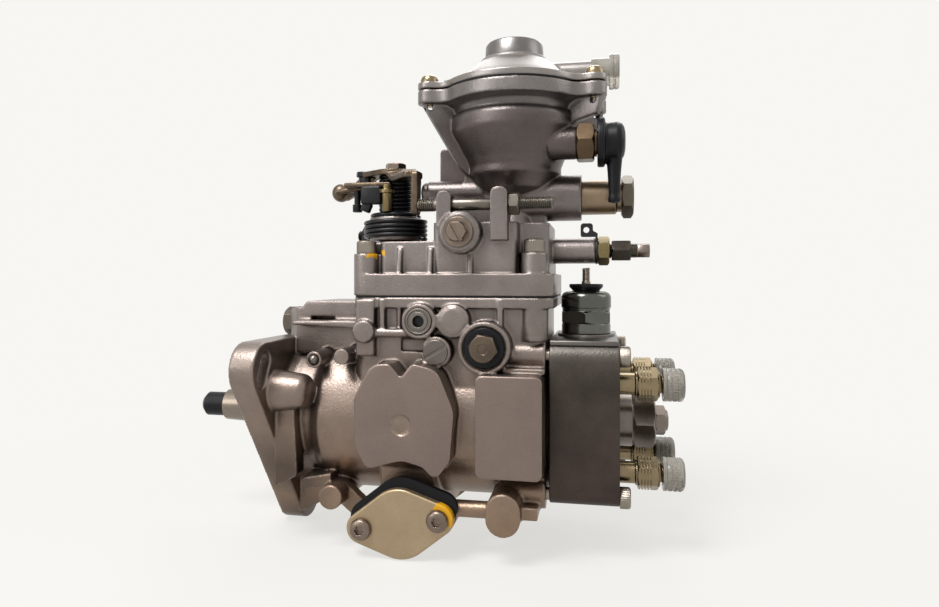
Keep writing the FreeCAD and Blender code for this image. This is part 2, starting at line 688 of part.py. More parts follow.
def boost_bowl():
    """Lower half of the boost chamber, turned about its own axis and carried on a neck."""
    top = BOOST_SEAM_Z - DIAPHRAGM_THICKNESS / 2
    z = BOWL_BOTTOM_Z
    bowl = turned([
        (BLOCK_TOP - 2, 0, 0), (BLOCK_TOP - 2, 13.0, 0), (z - 7, NECK_R, 3.0), (z + 1, NECK_R, 2.0),
        (z + 6, 19.0, 3.0), (z + 13.5, 24.5, 0.8), (z + 17, 24.5, 0.8), (z + 21, 26.0, 2.0), (z + 35, BOWL_R, 4.0),
        (z + 42, BOWL_R, 2.0), (z + 44, 31.5, 1.0), (BOOST_FLANGE_Z - 2, 33.0, 1.0), (BOOST_FLANGE_Z, BOOST_R - 1, 0),
        (top, BOOST_R - 1, 0), (top, 0, 0),
    ], "z", (BOOST_X, 0, 0))
    parts = [bowl, plate(boost_outline(), "z", BOOST_FLANGE_Z, top)]
    for x, y, angle in boost_screw_places():
        if x < BOOST_X:
            corners = [(18, z + 12, 0), (25, z + 13, 2), (30, z + 18, 2), (BOOST_SCREW_R + 4.5, BOOST_FLANGE_Z + 1, 0),
                       (18, BOOST_FLANGE_Z + 1, 0)]
        else:
            corners = [(26, z + 28, 0), (31, z + 28, 2), (35, z + 38, 2), (BOOST_SCREW_R + 2, z + 40.5, 2),
                       (BOOST_SCREW_R + 4.5, BOOST_FLANGE_Z + 1, 0), (26, BOOST_FLANGE_Z + 1, 0)]
        web = plate(rounded_outline(corners), "y", -2.4, 2.4)
        web.rotate(V(0, 0, 0), V(0, 0, 1), angle)
        web.translate(V(BOOST_X, 0, 0))
        parts.append(web)
    return parts


def boost_screw_places():
    """Boost chamber screws as (X, Y, angle) about the chamber's axis."""
    angles = [BOOST_EAR_ANGLE, 180 - BOOST_EAR_ANGLE, 180 + BOOST_EAR_ANGLE, 360 - BOOST_EAR_ANGLE]
    return [(BOOST_X + BOOST_SCREW_R * cos(radians(a)), BOOST_SCREW_R * sin(radians(a)), a) for a in angles]


def governor_cover():
    band_low = PARTING_Z + SEAL_THICKNESS
    band = plate(tower_outline(), "z", band_low, COVER_BAND_TOP)
    shelf = plate(rounded_outline([(52, -24.5, 3), (63.5, -24.5, 2), (63.5, -33, 3), (95, -33, 0), (95, 33, 0),
                                   (63.5, 33, 3), (63.5, 24.5, 2), (52, 24.5, 3)]), "z", band_low, SHELF_TOP)
    block = plate(rounded_outline([(BLOCK_X, -34, 3), (132.5, -34, 3), (132.5, -24, 2), (BLOCK_END_X, -24, 3),
                                   (BLOCK_END_X, 24, 3), (132.5, 24, 2), (132.5, 34, 3), (BLOCK_X, 34, 3)]),
                  "z", band_low, BLOCK_TOP)
    parts = [shelf, block, zrod(9.0, SHELF_TOP - 1, CONTROL_BOSS_TOP, CONTROL_X, 0), spring_seat()]
    for x, y in cover_screw_places():
        parts.append(zrod(SCREW_BOSS_R, band_low, COVER_SCREW_SEAT, x, y))
    for x in (74.5, 90.0, 110.0):
        rib = plate(rounded_outline([(-37.5, COVER_BAND_TOP - 1, 0), (-32, COVER_BAND_TOP - 1, 0),
                                     (-32, SHELF_TOP - 3, 0), (-34.2, SHELF_TOP - 3, 0.8)]), "x", x - 1.2, x + 1.2)
        parts += both_sides(rib)
    top = STOP_ROD_Z
    parts.append(yrod(10.2, -41.0, -30.0, BOSS_SCREW_X, BOSS_SCREW_Z))
    parts.append(yrod(9.0, -42.0, -30.0, BOSS_SCREW_X, BOSS_SCREW_Z))
    parts.append(plate(rounded_outline([(94, top - 11.5, 0), (101, top - 11.5, 0), (101, top + 6.5, 3),
                                        (94, top + 6.5, 3)]), "y", -39.0, -28.0))
    parts.append(plate(rounded_outline([(120.5, top - 17.5, 0), (128.5, top - 17.5, 0), (128.5, top + 7.5, 3),
                                        (120.5, top + 7.5, 3)]), "y", -41.0, -27.0))
    z = BLOCK_TOP
    parts.append(plate(rounded_outline([(99, z - 2, 0), (127, z - 2, 0), (127, z + 28, 0), (102, z + 28, 3)]), "y", -9.0, 5.0))
    parts.append(turned([(78.5, 0, 0), (78.5, 4.6, 0), (80.0, 5.9, 1.2), (81.4, 5.9, 0), (81.4, 5.2, 0), (82.4, 5.2, 0),
                         (82.4, 6.5, 0), (112.0, 6.5, 0), (112.0, 0, 0)], "x", (0, -4.0, z + 18.0)))
    parts.append(plate(rounded_outline([(85, z + 10, 0), (101, z - 10, 0), (101, z + 44, 2), (85, z + 44, 2)]), "y", 8.0, 18.0))
    parts.append(xrod(11.8, 130.0, 162.0, 0, GUIDE_Z))
    parts.append(box(132.0, 144.0, -7.0, 7.0, z - 2, GUIDE_Z - 7.0))
    parts.append(xrod(6.5, BLOCK_END_X - 5, 169.0, 0, FULL_LOAD_Z))
    z = SHELF_TOP
    parts.append(plate(rounded_outline([(43, z, 0), (50, z, 2), (56, z - 6, 0), (66, z - 6, 0), (66, z - 1, 0),
                                        (50, z + 13, 3), (43, z + 13, 3)]), "y", MAX_SPEED_Y - 4, MAX_SPEED_Y + 4))
    parts.append(xrod(8.0, 146.0, 160.0, VENT_Y, VENT_Z))
    cover = fuse(band, *parts, *boost_bowl())
    cutters = [
        cut(box(56.3, 141.0, -27, 27, band_low - 1, COVER_SCREW_SEAT),
            *[zrod(SCREW_BOSS_R, band_low - 10, SHELF_TOP + 10, x, y) for x, y in cover_screw_places()]),
        box(95.0, 130.0, -26, 26, COVER_SCREW_SEAT - 4, BLOCK_TOP - 5),
        zrod(7.6, band_low - 1, COVER_SCREW_SEAT, CONTROL_X, 0),
        zrod(CONTROL_SHAFT_R + RUNNING, COVER_BAND_TOP - 4, LEVER_PLATE_Z - 0.7, CONTROL_X, 0),
        zrod(BOOST_STEM_R + 1.5, BLOCK_TOP - 9, BOWL_BOTTOM_Z + 19, BOOST_X, 0),
        turned([(BOWL_BOTTOM_Z + 15, 0, 0), (BOWL_BOTTOM_Z + 15, 16.0, 0), (BOWL_BOTTOM_Z + 19, 21.0, 2),
                (BOWL_BOTTOM_Z + 37, 29.0, 2), (BOOST_SEAM_Z + 1, 30.0, 0), (BOOST_SEAM_Z + 1, 0, 0)],
               "z", (BOOST_X, 0, 0)),
        xrod(SENSING_PIN_R + 1.0, BOOST_X, 150.0, 0, GUIDE_Z),
        xrod(GUIDE_R + SEAT, 149.0, 163.0, 0, GUIDE_Z),
        xrod(FULL_LOAD_R + SEAT, BLOCK_END_X - 10, 170.0, 0, FULL_LOAD_Z),
        xrod(STOP_ROD_R + SEAT, 80.0, 135.0, STOP_ROD_Y, STOP_ROD_Z),
        xrod(3.0 + SEAT, 40.0, 52.0, MAX_SPEED_Y, MAX_SPEED_Z),
        yrod(BOSS_SCREW_R + SEAT, -45.0, -32.0, BOSS_SCREW_X, BOSS_SCREW_Z),
        xrod(5.0 + SEAT, 154.0, 165.0, VENT_Y, VENT_Z),
        xrod(1.5, 142.0, 155.0, VENT_Y, VENT_Z),
    ]
    for x, y in cover_screw_places():
        cutters.append(zrod(3.0 + FREE, band_low - 1, COVER_SCREW_SEAT + 1, x, y))
    for x, y, angle in boost_screw_places():
        cutters.append(zrod(BOOST_SCREW_SHANK_R + SEAT, BOOST_FLANGE_Z - 3, BOOST_SEAM_Z + 1, x, y))
    return cut(cover, *cutters)


def cover_screws():
    return [towards(socket_screw(5.0, 6.5, 3.0, COVER_SCREW_REACH), "+z", (x, y, COVER_SCREW_SEAT))
            for x, y in cover_screw_places()]


def distributor_head():
    ring = xrod(33.0, BARREL_END_X, HEAD_X + 0.1)
    spigot = xrod(BORE_R - RUNNING, BARREL_END_X - SPIGOT_DEPTH, HEAD_X)
    outline = [(-HEAD_HALF_Y, HEAD_BOTTOM_Z, 6), (HEAD_HALF_Y, HEAD_BOTTOM_Z, 6), (HEAD_HALF_Y, HEAD_TOP_Z, 8),
               (-HEAD_HALF_Y, HEAD_TOP_Z, 8)]
    block = plate(rounded_outline(outline), "x", HEAD_X, HEAD_END_X)
    boss = zrod(14.5, HEAD_TOP_Z - 2, SOLENOID_SEAT_Z, SOLENOID_X, 0)
    head = fuse(block, ring, spigot, boss)
    cutters = [
        xrod(PLUNGER_R + RUNNING, 130.0, PLUNGER_END_X + 4),
        xrod(10.0 + SEAT, PLUNGER_END_X + 4, HEAD_END_X + 1),
        zrod(SOLENOID_BORE_R, 24.0, SOLENOID_SEAT_Z + 1, SOLENOID_X, 0),
        zrod(2.0, PLUNGER_R - 2, 25.0, SOLENOID_X, 0),
    ]
    for y, z in head_bolt_places():
        cutters.append(xrod(HEAD_BOLT_R + FREE, BARREL_END_X - 1, HEAD_END_X + 1, y, z))
    for y, z in outlet_places():
        cutters.append(xrod(OUTLET_STEM_R + SEAT, VALVE_X - 0.2, HEAD_END_X + 1, y, z))
        start = V(156.0, y * 0.15, z * 0.15)
        end = V(VALVE_X + 0.5, y, z)
        cutters.append(Part.makeCylinder(1.0, (end - start).Length, start, end - start))
    return cut(head, *cutters)


def outlet_places():
    return [(side * OUTLET_OFFSET, up * OUTLET_OFFSET) for side in (-1, 1) for up in (1, -1)]


def head_bolts():
    bolts = []
    for y, z in head_bolt_places():
        bolts.append(towards(socket_screw(5.0, 5.0, HEAD_BOLT_R, HEAD_END_X - 131.0), "+x", (HEAD_END_X, y, z)))
    return bolts


def delivery_valve_holders():
    holders = []
    for y, z in outlet_places():
        stem = xrod(OUTLET_STEM_R, VALVE_X + 5, 189.0, y, z)
        nut = hexagon(OUTLET_HEX, "x", 188.7, 198.4, (y, z), 30)
        neck = xrod(4.5, 198.0, 206.0, y, z)
        bores = [xrod(VALVE_R + RUNNING, VALVE_X, 187.0, y, z), xrod(1.3, 180.0, 210.0, y, z)]
        holders.append(cut(fuse(stem, nut, neck), *bores))
    return holders


def line_caps():
    caps = []
    for y, z in outlet_places():
        cap = turned([(200.5, 0, 0), (200.5, 7.9, 0.8), (210.3, 7.5, 1.2), (210.3, 0, 0)], "x", (0, y, z))
        caps.append(cut(cap, xrod(4.6, 199.0, 207.5, y, z)))
    return caps


def centre_plug():
    parts = [xrod(13.5, HEAD_END_X, 188.0), xrod(10.0, PLUNGER_END_X + 5, HEAD_END_X + 1),
             hexagon(27.0, "x", 187.4, 198.3)]
    return cut(fuse(*parts), xrod(4.0 + SEAT, PLUNGER_END_X, 199.0))


def vent_screw():
    return fuse(xrod(4.0, 186.0, 199.0), hexagon(13.0, "x", 198.3, 205.1))


def delivery_valve(y, z):
    """Piston valve with a relief collar and four flutes."""
    valve = turned([(VALVE_X, 0, 0), (VALVE_X, 1.6, 0), (VALVE_X + 1.4, VALVE_R, 0), (VALVE_X + 4.0, VALVE_R, 0),
                    (VALVE_X + 4.6, 2.2, 0), (VALVE_X + 6.0, 2.2, 0), (VALVE_X + 6.6, VALVE_R, 0),
                    (VALVE_X + 8.0, VALVE_R, 0), (VALVE_X + 8.0, 1.4, 0), (VALVE_X + 12.0, 1.4, 0),
                    (VALVE_X + 12.0, 0, 0)], "x", (0, y, z))
    return valve


def valve_springs():
    return [spring_along("x", VALVE_X + 8.2, 186.8, 2.2, 0.7, 2.0, (y, z)) for y, z in outlet_places()]


def shutoff_solenoid():
    base = zrod(12.4, SOLENOID_SEAT_Z, 49.0, SOLENOID_X, 0)
    nut = hexagon(24.0, "z", 48.8, 55.5, (SOLENOID_X, 0), 0)
    can = turned([(55.4, 0, 0), (55.4, 12.7, 0), (63.5, 12.7, 1.2), (65.3, 10.4, 0.6), (65.3, 0, 0)],
                 "z", (SOLENOID_X, 0, 0))
    thread = zrod(SOLENOID_BORE_R - SEAT, 36.0, SOLENOID_SEAT_Z + 1, SOLENOID_X, 0)
    return cut(fuse(base, nut, can, thread), zrod(ARMATURE_R + RUNNING, 30.0, 60.0, SOLENOID_X, 0))


def terminal_insulator():
    disc = turned([(65.3, 0, 0), (65.3, 8.6, 0), (69.0, 8.2, 0.8), (69.0, 0, 0)], "z", (SOLENOID_X, 0, 0))
    return cut(disc, zrod(2.0 + SEAT, 60.0, 70.0, SOLENOID_X, 0))


def terminal_stud():
    return zrod(2.0, 65.4, 77.0, SOLENOID_X, 0)


def solenoid_armature():
    """Armature with a conical tip that closes the filling port."""
    return turned([(25.2, 0, 0), (25.2, 1.2, 0), (28.5, 3.4, 0), (36.0, 3.4, 0), (38.0, ARMATURE_R, 0),
                   (50.0, ARMATURE_R, 0), (50.0, 0, 0)], "z", (SOLENOID_X, 0, 0))


def armature_spring():
    return spring_along("z", 50.1, 59.9, 3.4, 1.0, 2.6, (SOLENOID_X, 0))


def drive_shaft():
    """Shaft with thread, taper, journal and the two claws that turn the cam plate."""
    shaft = turned([
        (SHAFT_TIP_X, 0, 0), (SHAFT_TIP_X, 5.2, 0.8), (TAPER_END_X, 6.0, 0), (TAPER_END_X, TAPER_SMALL_R, 0),
        (TAPER_START_X, SHAFT_R, 0), (GEAR_X + GEAR_WIDTH, SHAFT_R, 0), (GEAR_X + GEAR_WIDTH, 13.4, 0),
        (87.5, 13.4, 0), (87.5, 0, 0),
    ], "x")
    gap = box(73.0, 90.0, -4.5, 4.5, -20.0, 20.0)
    return cut(shaft, gap, xrod(7.0, 73.0, 90.0))


def shaft_end_cap():
    cap = turned([(SHAFT_TIP_X - 1.4, 0, 0), (SHAFT_TIP_X - 1.4, END_CAP_R, 2.2), (TAPER_END_X, END_CAP_R, 0),
                  (TAPER_END_X, 0, 0)], "x")
    hollow = turned([(SHAFT_TIP_X - 0.1, 0, 0), (SHAFT_TIP_X - 0.1, 5.3, 0.8), (TAPER_END_X + 1, 6.1, 0),
                     (TAPER_END_X + 1, 0, 0)], "x")
    return cut(cap, hollow)


def shaft_seal():
    return cut(xrod(15.0 - SEAT, -4.0, 3.0), xrod(SHAFT_R + RUNNING, -5.0, 4.0), xrod(13.0, -5.0, -1.0))


def shaft_bush():
    return cut(xrod(12.0 - SEAT, 3.0, BORE_START_X), xrod(SHAFT_R + RUNNING, 2.0, 12.0))


def feed_pump_ring():
    ring = xrod(BORE_R - RUNNING, FEED_X, FEED_X + FEED_WIDTH)
    return cut(ring, xrod(FEED_BORE_R, FEED_X - 1, FEED_X + FEED_WIDTH + 1, 0, FEED_OFFSET))


def feed_pump_plate():
    """Plate that closes the feed pump, with two outlet windows."""
    x = FEED_X + FEED_WIDTH
    disc = xrod(BORE_R - RUNNING, x, x + 2.5)
    holes = [xrod(2.4, x - 1, x + 4, y, -20.0) for y in (-9.0, 9.0)]
    return cut(disc, xrod(12.0, x - 1, x + 4), *holes)


def feed_pump_rotor():
    x0 = FEED_X + FREE
    x1 = FEED_X + FEED_WIDTH - FREE
    rotor = xrod(FEED_ROTOR_R, x0, x1)
    slots = []
    for i in range(4):
        slot = box(x0 - 1, x1 + 1, -VANE_THICKNESS / 2 - 0.1, VANE_THICKNESS / 2 + 0.1, 11.3, 30)
        slot.rotate(V(0, 0, 0), V(1, 0, 0), 45 + 90 * i)
        slots.append(slot)
    return cut(rotor, xrod(SHAFT_R + SEAT, x0 - 1, x1 + 1), *slots)


def feed_pump_vanes():
    tip = FEED_BORE_R - FEED_OFFSET - 0.1
    vanes = []
    for i in range(4):
        vane = box(FEED_X + 2 * FREE, FEED_X + FEED_WIDTH - 2 * FREE, -VANE_THICKNESS / 2, VANE_THICKNESS / 2,
                   11.5, tip)
        vane = vane.common(xrod(tip, FEED_X, FEED_X + FEED_WIDTH))
        vane.rotate(V(0, 0, 0), V(1, 0, 0), 45 + 90 * i)
        vanes.append(vane)
    return vanes


def drive_gear():
    wheel = gear(GEAR_MODULE, DRIVE_TEETH, GEAR_WIDTH, SHAFT_R + SEAT, 90)
    place(wheel, "x", GEAR_X, GEAR_X + GEAR_WIDTH)
    hub = cut(xrod(15.0, GEAR_X - 4, GEAR_X + 0.1), xrod(SHAFT_R + SEAT, GEAR_X - 5, GEAR_X + 1))
    return fuse(wheel, hub)


def governor_gear():
    wheel = gear(GEAR_MODULE, GOVERNOR_TEETH, GEAR_WIDTH, GOVERNOR_SHAFT_R + RUNNING, -90 + 180.0 / GOVERNOR_TEETH)
    place(wheel, "x", GEAR_X, GEAR_X + GEAR_WIDTH)
    wheel.translate(V(0, 0, GOVERNOR_Z))
    return wheel


def flyweight_cage():
    """Cage disc with four posts that stand between the flyweights."""
    x0 = GEAR_X + GEAR_WIDTH
    x1 = x0 + 3.0
    parts = [xrod(CAGE_R, x0, x1)]
    for i in range(4):
        post = box(x1 - 0.5, WEIGHT_END_X, -2.4, 2.4, 13.0, CAGE_R)
        post.rotate(V(0, 0, 0), V(1, 0, 0), 45 + 90 * i)
        parts.append(post)
    cage = cut(fuse(*parts), xrod(GOVERNOR_SHAFT_R + RUNNING, x0 - 1, x1 + 1))
    cage = cage.common(xrod(CAGE_R, x0 - 1, WEIGHT_END_X + 1))
    cage.translate(V(0, 0, GOVERNOR_Z))
    return cage


def flyweight(turn):
    """Centrifugal weight with the toe that pushes the sleeve, for one side of the cage."""
    x0 = GEAR_X + GEAR_WIDTH + 3.6
    outline = rounded_outline([
        (x0, 9.6, 0), (WEIGHT_END_X, 9.6, 0.8), (WEIGHT_END_X, WEIGHT_OUTER_R - 2, 2),
        (WEIGHT_PIVOT_X + 3, WEIGHT_OUTER_R, 2), (x0, WEIGHT_OUTER_R, 1.5),
    ])
    toe = rounded_outline([(x0, 9.7, 0), (x0 + 0.8, 6.0, 0), (SLEEVE_START_X - 0.3, 6.0, 0),
                           (SLEEVE_START_X - 0.3, 9.7, 0)])
    pin = yrod(WEIGHT_PIN_R, -8.0, 8.0, WEIGHT_PIVOT_X, WEIGHT_PIVOT_R)
    weight = fuse(plate(outline, "y", -6.6, 6.6), plate(toe, "y", -4.0, 4.0), pin)
    weight.rotate(V(0, 0, 0), V(1, 0, 0), turn)
    weight.translate(V(0, 0, GOVERNOR_Z))
    return weight


def governor_shaft():
    return fuse(xrod(GOVERNOR_SHAFT_R, 43.0, 98.0, 0, GOVERNOR_Z), xrod(6.0, 55.9, 56.8, 0, GOVERNOR_Z))


def governor_sleeve():
    sleeve = turned([(SLEEVE_START_X, 0, 0), (SLEEVE_START_X, SLEEVE_R, 0), (100.0, SLEEVE_R, 0), (102.0, 5.0, 2.0),
                     (SLEEVE_END_X, 3.0, 1.0), (SLEEVE_END_X, 0, 0)], "x", (0, 0, GOVERNOR_Z))
    return cut(sleeve, xrod(GOVERNOR_SHAFT_R + RUNNING, SLEEVE_START_X - 1, 100.5, 0, GOVERNOR_Z))


def governor_lever():
    """Two-armed lever: its top is pushed by the sleeve, its ball moves the control collar."""
    face = SLEEVE_END_X + SLEEVE_GAP
    side = rounded_outline([
        (LEVER_X - 5.5, LEVER_Z - 5, 4), (LEVER_X + 5.5, LEVER_Z - 5, 4), (LEVER_X + 4.5, LEVER_Z + 6, 3),
        (face + 4.2, GOVERNOR_Z + 10, 2), (face, GOVERNOR_Z + 10, 1), (face, GOVERNOR_Z - 5, 2),
    ])
    body = plate(side, "y", -6.0, 6.0)
    hub = yrod(6.0, -14.0, 14.0, LEVER_X, LEVER_Z)
    arm = zrod(1.9, LEVER_BALL_Z + 1, LEVER_Z - 3, LEVER_X, 0)
    shoulder = turned([(LEVER_BALL_Z + 9, 0, 0), (LEVER_BALL_Z + 9, 1.9, 0), (LEVER_Z - 8, 4.5, 0), (LEVER_Z - 3, 4.5, 0),
                       (LEVER_Z - 3, 0, 0)], "z", (LEVER_X, 0, 0))
    ball = Part.makeSphere(LEVER_BALL_R, V(LEVER_X, 0, LEVER_BALL_Z))
    hook = box(face, face + 3.7, -4.0, 4.0, GOVERNOR_Z + 9, GOVERNOR_SPRING_Z - 4.0)
    lever = fuse(body, hub, arm, shoulder, ball, hook)
    return cut(lever, yrod(4.0 + RUNNING, -15.0, 15.0, LEVER_X, LEVER_Z))


def lever_pivot_bolts():
    bolts = []
    for side in (-1, 1):
        head = hexagon(13.0, "y", -48.0, -43.4, (LEVER_X, LEVER_Z), 30)
        ring = yrod(9.6, -43.5, -42.5, LEVER_X, LEVER_Z)
        shank = yrod(CONTROL_SHAFT_R, -43.0, -TOWER_INNER_Y + 3, LEVER_X, LEVER_Z)
        tip = yrod(4.0, -TOWER_INNER_Y, -7.5, LEVER_X, LEVER_Z)
        bolt = fuse(head, ring, shank, tip)
        bolts.append(bolt if side < 0 else mirrored(bolt))
    return bolts


def governor_spring():
    return spring_along("x", 80.0, SLEEVE_END_X + SLEEVE_GAP - 0.1, 4.2, 1.1, 3.2, (0, GOVERNOR_SPRING_Z))


def roller_ring():
    """Ring that carries the rollers and the pin of the timing piston."""
    x1 = ROLLER_RING_X + ROLLER_RING_WIDTH
    ring = xrod(BORE_R - 0.1, ROLLER_RING_X, x1)
    pin = zrod(3.0, TIMING_Z, -BORE_R + 4, TIMING_X, 0)
    room = yrod(PISTON_R + 0.6, -PISTON_HALF - 2, PISTON_HALF + TIMING_TRAVEL + 2, TIMING_X, TIMING_Z)
    ball = Part.makeSphere(3.6, V(TIMING_X, 0, TIMING_Z))
    pockets = []
    for i in range(ROLLER_COUNT):
        pocket = box(ROLLER_X - ROLLER_R - FREE, x1 + 1, -ROLLER_R - FREE, ROLLER_R + FREE,
                     ROLLER_INNER - 0.3, ROLLER_OUTER + 0.3)
        pocket.rotate(V(0, 0, 0), V(1, 0, 0), 45 + 90 * i)
        pockets.append(pocket)
    ring = cut(ring, xrod(14.4, ROLLER_RING_X - 1, x1 + 1), room, *pockets)
    return fuse(ring, pin, ball)


def roller(turn):
    body = zrod(ROLLER_R, ROLLER_INNER, ROLLER_OUTER, ROLLER_X, 0)
    body.rotate(V(0, 0, 0), V(1, 0, 0), turn)
    return body


def cam_plate():
    """Face cam: four lobes on the roller side, a tongue for the shaft claws and a foot for the plunger."""
    disc = xrod(CAM_R, CAM_X, CAM_X + CAM_THICKNESS)
    parts = [disc, xrod(12.0, CAM_X + CAM_THICKNESS - 0.5, CAM_X + CAM_THICKNESS + 1.5)]
    for i in range(ROLLER_COUNT):
        lobe = plate(rounded_outline([(-9.5, CAM_X + 0.5, 0), (-9.5, CAM_X, 0), (-3.0, CAM_X - CAM_LIFT, 3.0),
                                      (3.0, CAM_X - CAM_LIFT, 3.0), (9.5, CAM_X, 0), (9.5, CAM_X + 0.5, 0)]),
                     "z", 15.5, 26.0)
        lobe.rotate(V(0, 0, 0), V(0, 0, 1), -90)
        lobe = lobe.common(xrod(CAM_R, CAM_X - 5, CAM_X + 5))
        lobe.rotate(V(0, 0, 0), V(1, 0, 0), 45 + 90 * i)
        parts.append(lobe)
    tongue = box(75.0, CAM_X + 1, -4.3, 4.3, -12.8, 12.8).common(xrod(12.8, 74.0, CAM_X + 1))
    parts.append(cut(tongue, box(74.0, 86.0, -5, 5, -6.8, 6.8)))
    return fuse(*parts)


def plunger():
    x0 = CAM_X + CAM_THICKNESS + 1.5
    rod = xrod(PLUNGER_R, x0, PLUNGER_END_X)
    foot = xrod(9.0, x0, x0 + 2.0)
    ports = xrod(1.2, 130.0, PLUNGER_END_X + 1)
    spill = yrod(1.0, -10, 10, 125.0, 0)
    return cut(fuse(rod, foot), ports, spill)


def control_collar():
    half = COLLAR_WIDTH / 2
    ring = xrod(COLLAR_R, LEVER_X - half, LEVER_X + half)
    bore = xrod(PLUNGER_R + RUNNING, LEVER_X - half - 1, LEVER_X + half + 1)
    seat = zrod(LEVER_BALL_R + FREE, PLUNGER_R + 0.6, COLLAR_R + 1, LEVER_X, 0)
    return cut(ring, bore, seat)


def spring_bridge():
    """Yoke that passes the force of the two plunger springs to the plunger foot."""
    x0 = CAM_X + CAM_THICKNESS + 3.8
    reach = BORE_R - 11.0
    yoke = plate(hull_outline([(-reach, 0, 6.5), (0, -0.5, 9.5), (reach, 0, 6.5), (0, 0.5, 9.5)]), "x", x0, x0 + 2.5)
    return cut(yoke, xrod(PLUNGER_R + FREE, x0 - 1, x0 + 4))


def plunger_springs():
    x0 = CAM_X + CAM_THICKNESS + 6.4
    reach = BORE_R - 11.0
    end = BARREL_END_X - SPIGOT_DEPTH - 0.05
    return [spring_along("x", x0, end, 4.6, 1.4, 4.4, (side * reach, 0)) for side in (-1, 1)]


def timing_piston():
    body = yrod(PISTON_R, -PISTON_HALF, PISTON_HALF, TIMING_X, TIMING_Z)
    pin_hole = zrod(3.75, TIMING_Z - 5.5, TIMING_Z + PISTON_R + 2, TIMING_X, 0)
    relief = zrod(5.2, TIMING_Z + 3.5, TIMING_Z + PISTON_R + 2, TIMING_X, 0)
    pocket = yrod(7.0, PISTON_HALF - 8, PISTON_HALF + 1, TIMING_X, TIMING_Z)
    return cut(body, pin_hole, relief, pocket)


def timing_spring():
    return spring_along("y", PISTON_HALF - 7.9, TIMING_FACE_Y - 0.05, 5.4, 1.3, 4.2, (TIMING_X, TIMING_Z))


def timing_gaskets():
    """Gasket plates that reach a little above the timing covers."""
    low = -TIMING_FACE_Y - GASKET_THICKNESS
    near = plate(timing_outline(), "y", low, -TIMING_FACE_Y)
    raised = plate(timing_outline(), "y", low, -TIMING_FACE_Y)
    raised.translate(V(1.0, 0, GASKET_RISE))
    holes = [yrod(2.7, low - 1, -TIMING_FACE_Y + 1, x, z) for x, z in timing_ears()]
    return both_sides(cut(fuse(near, raised), *holes))


def timing_covers():
    high = -TIMING_FACE_Y - GASKET_THICKNESS
    low = high - TIMING_COVER_THICKNESS
    cover = plate(timing_outline(), "y", low, high)
    outer_edges = [edge for edge in cover.Edges
                   if abs(edge.BoundBox.YMin - low) < 0.01 and abs(edge.BoundBox.YMax - low) < 0.01]
    cover = cover.makeFillet(1.0, outer_edges)
    holes = [yrod(2.7, low - 1, high + 1, x, z) for x, z in timing_ears()]
    return both_sides(cut(cover, *holes))


def timing_cover_screws():
    face = -TIMING_FACE_Y - GASKET_THICKNESS - TIMING_COVER_THICKNESS
    screws = []
    for x, z in timing_ears():
        near = towards(pan_screw(5.2, 3.2, 2.5, 14.0), "-y", (x, face, z))
        screws += both_sides(near)
    return screws


def blanking_plugs():
    """Ring plug, slotted disc and small ball in the photographed side of the tower."""
    x, z = RING_PLUG
    ring_plug = fuse(yrod(RING_PLUG_R, -42.6, -38.0, x, z), yrod(3.2 - SEAT, -38.1, -33.0, x, z))
    groove = cut(yrod(4.9, -43.0, -42.1, x, z), yrod(3.6, -44.0, -41.0, x, z))
    ring_plug = cut(ring_plug, groove, yrod(2.0, -43.0, -40.0, x, z))
    x, z = SLOTTED_DISC
    slot = box(x - 8.0, x + 8.0, -43.0, -41.7, z - 0.7, z + 0.7)
    slot.rotate(V(x, 0, z), V(0, 1, 0), -30)
    slotted = cut(yrod(6.6, -42.2, -41.0, x, z), slot)
    ball = Part.makeSphere(BALL_HOLE_R - RUNNING, V(BALL[0], -38.3, BALL[1]))
    return [ring_plug, slotted, ball]


def inlet_plug():
    x = INLET_FACE_X
    return fuse(hexagon(14.0, "x", x - 7.0, x - 0.6, (0, INLET_Z)), xrod(8.3, x - 0.7, x, 0, INLET_Z),
                xrod(4.95, x - 0.1, x + 11.0, 0, INLET_Z))


def control_shaft():
    """Shaft of the control lever, with the eccentric pin that loads the governor spring."""
    foot = COVER_BAND_TOP + 4.6
    shaft = zrod(CONTROL_SHAFT_R, foot + 0.4, LEVER_PLATE_Z + LEVER_PLATE_THICKNESS, CONTROL_X, 0)
    disc = zrod(7.0, foot, foot + 3.4, CONTROL_X, 0)
    return fuse(shaft, disc, zrod(2.0, GOVERNOR_SPRING_Z - 2.5, foot + 0.4, CONTROL_X + 5.0, 0))


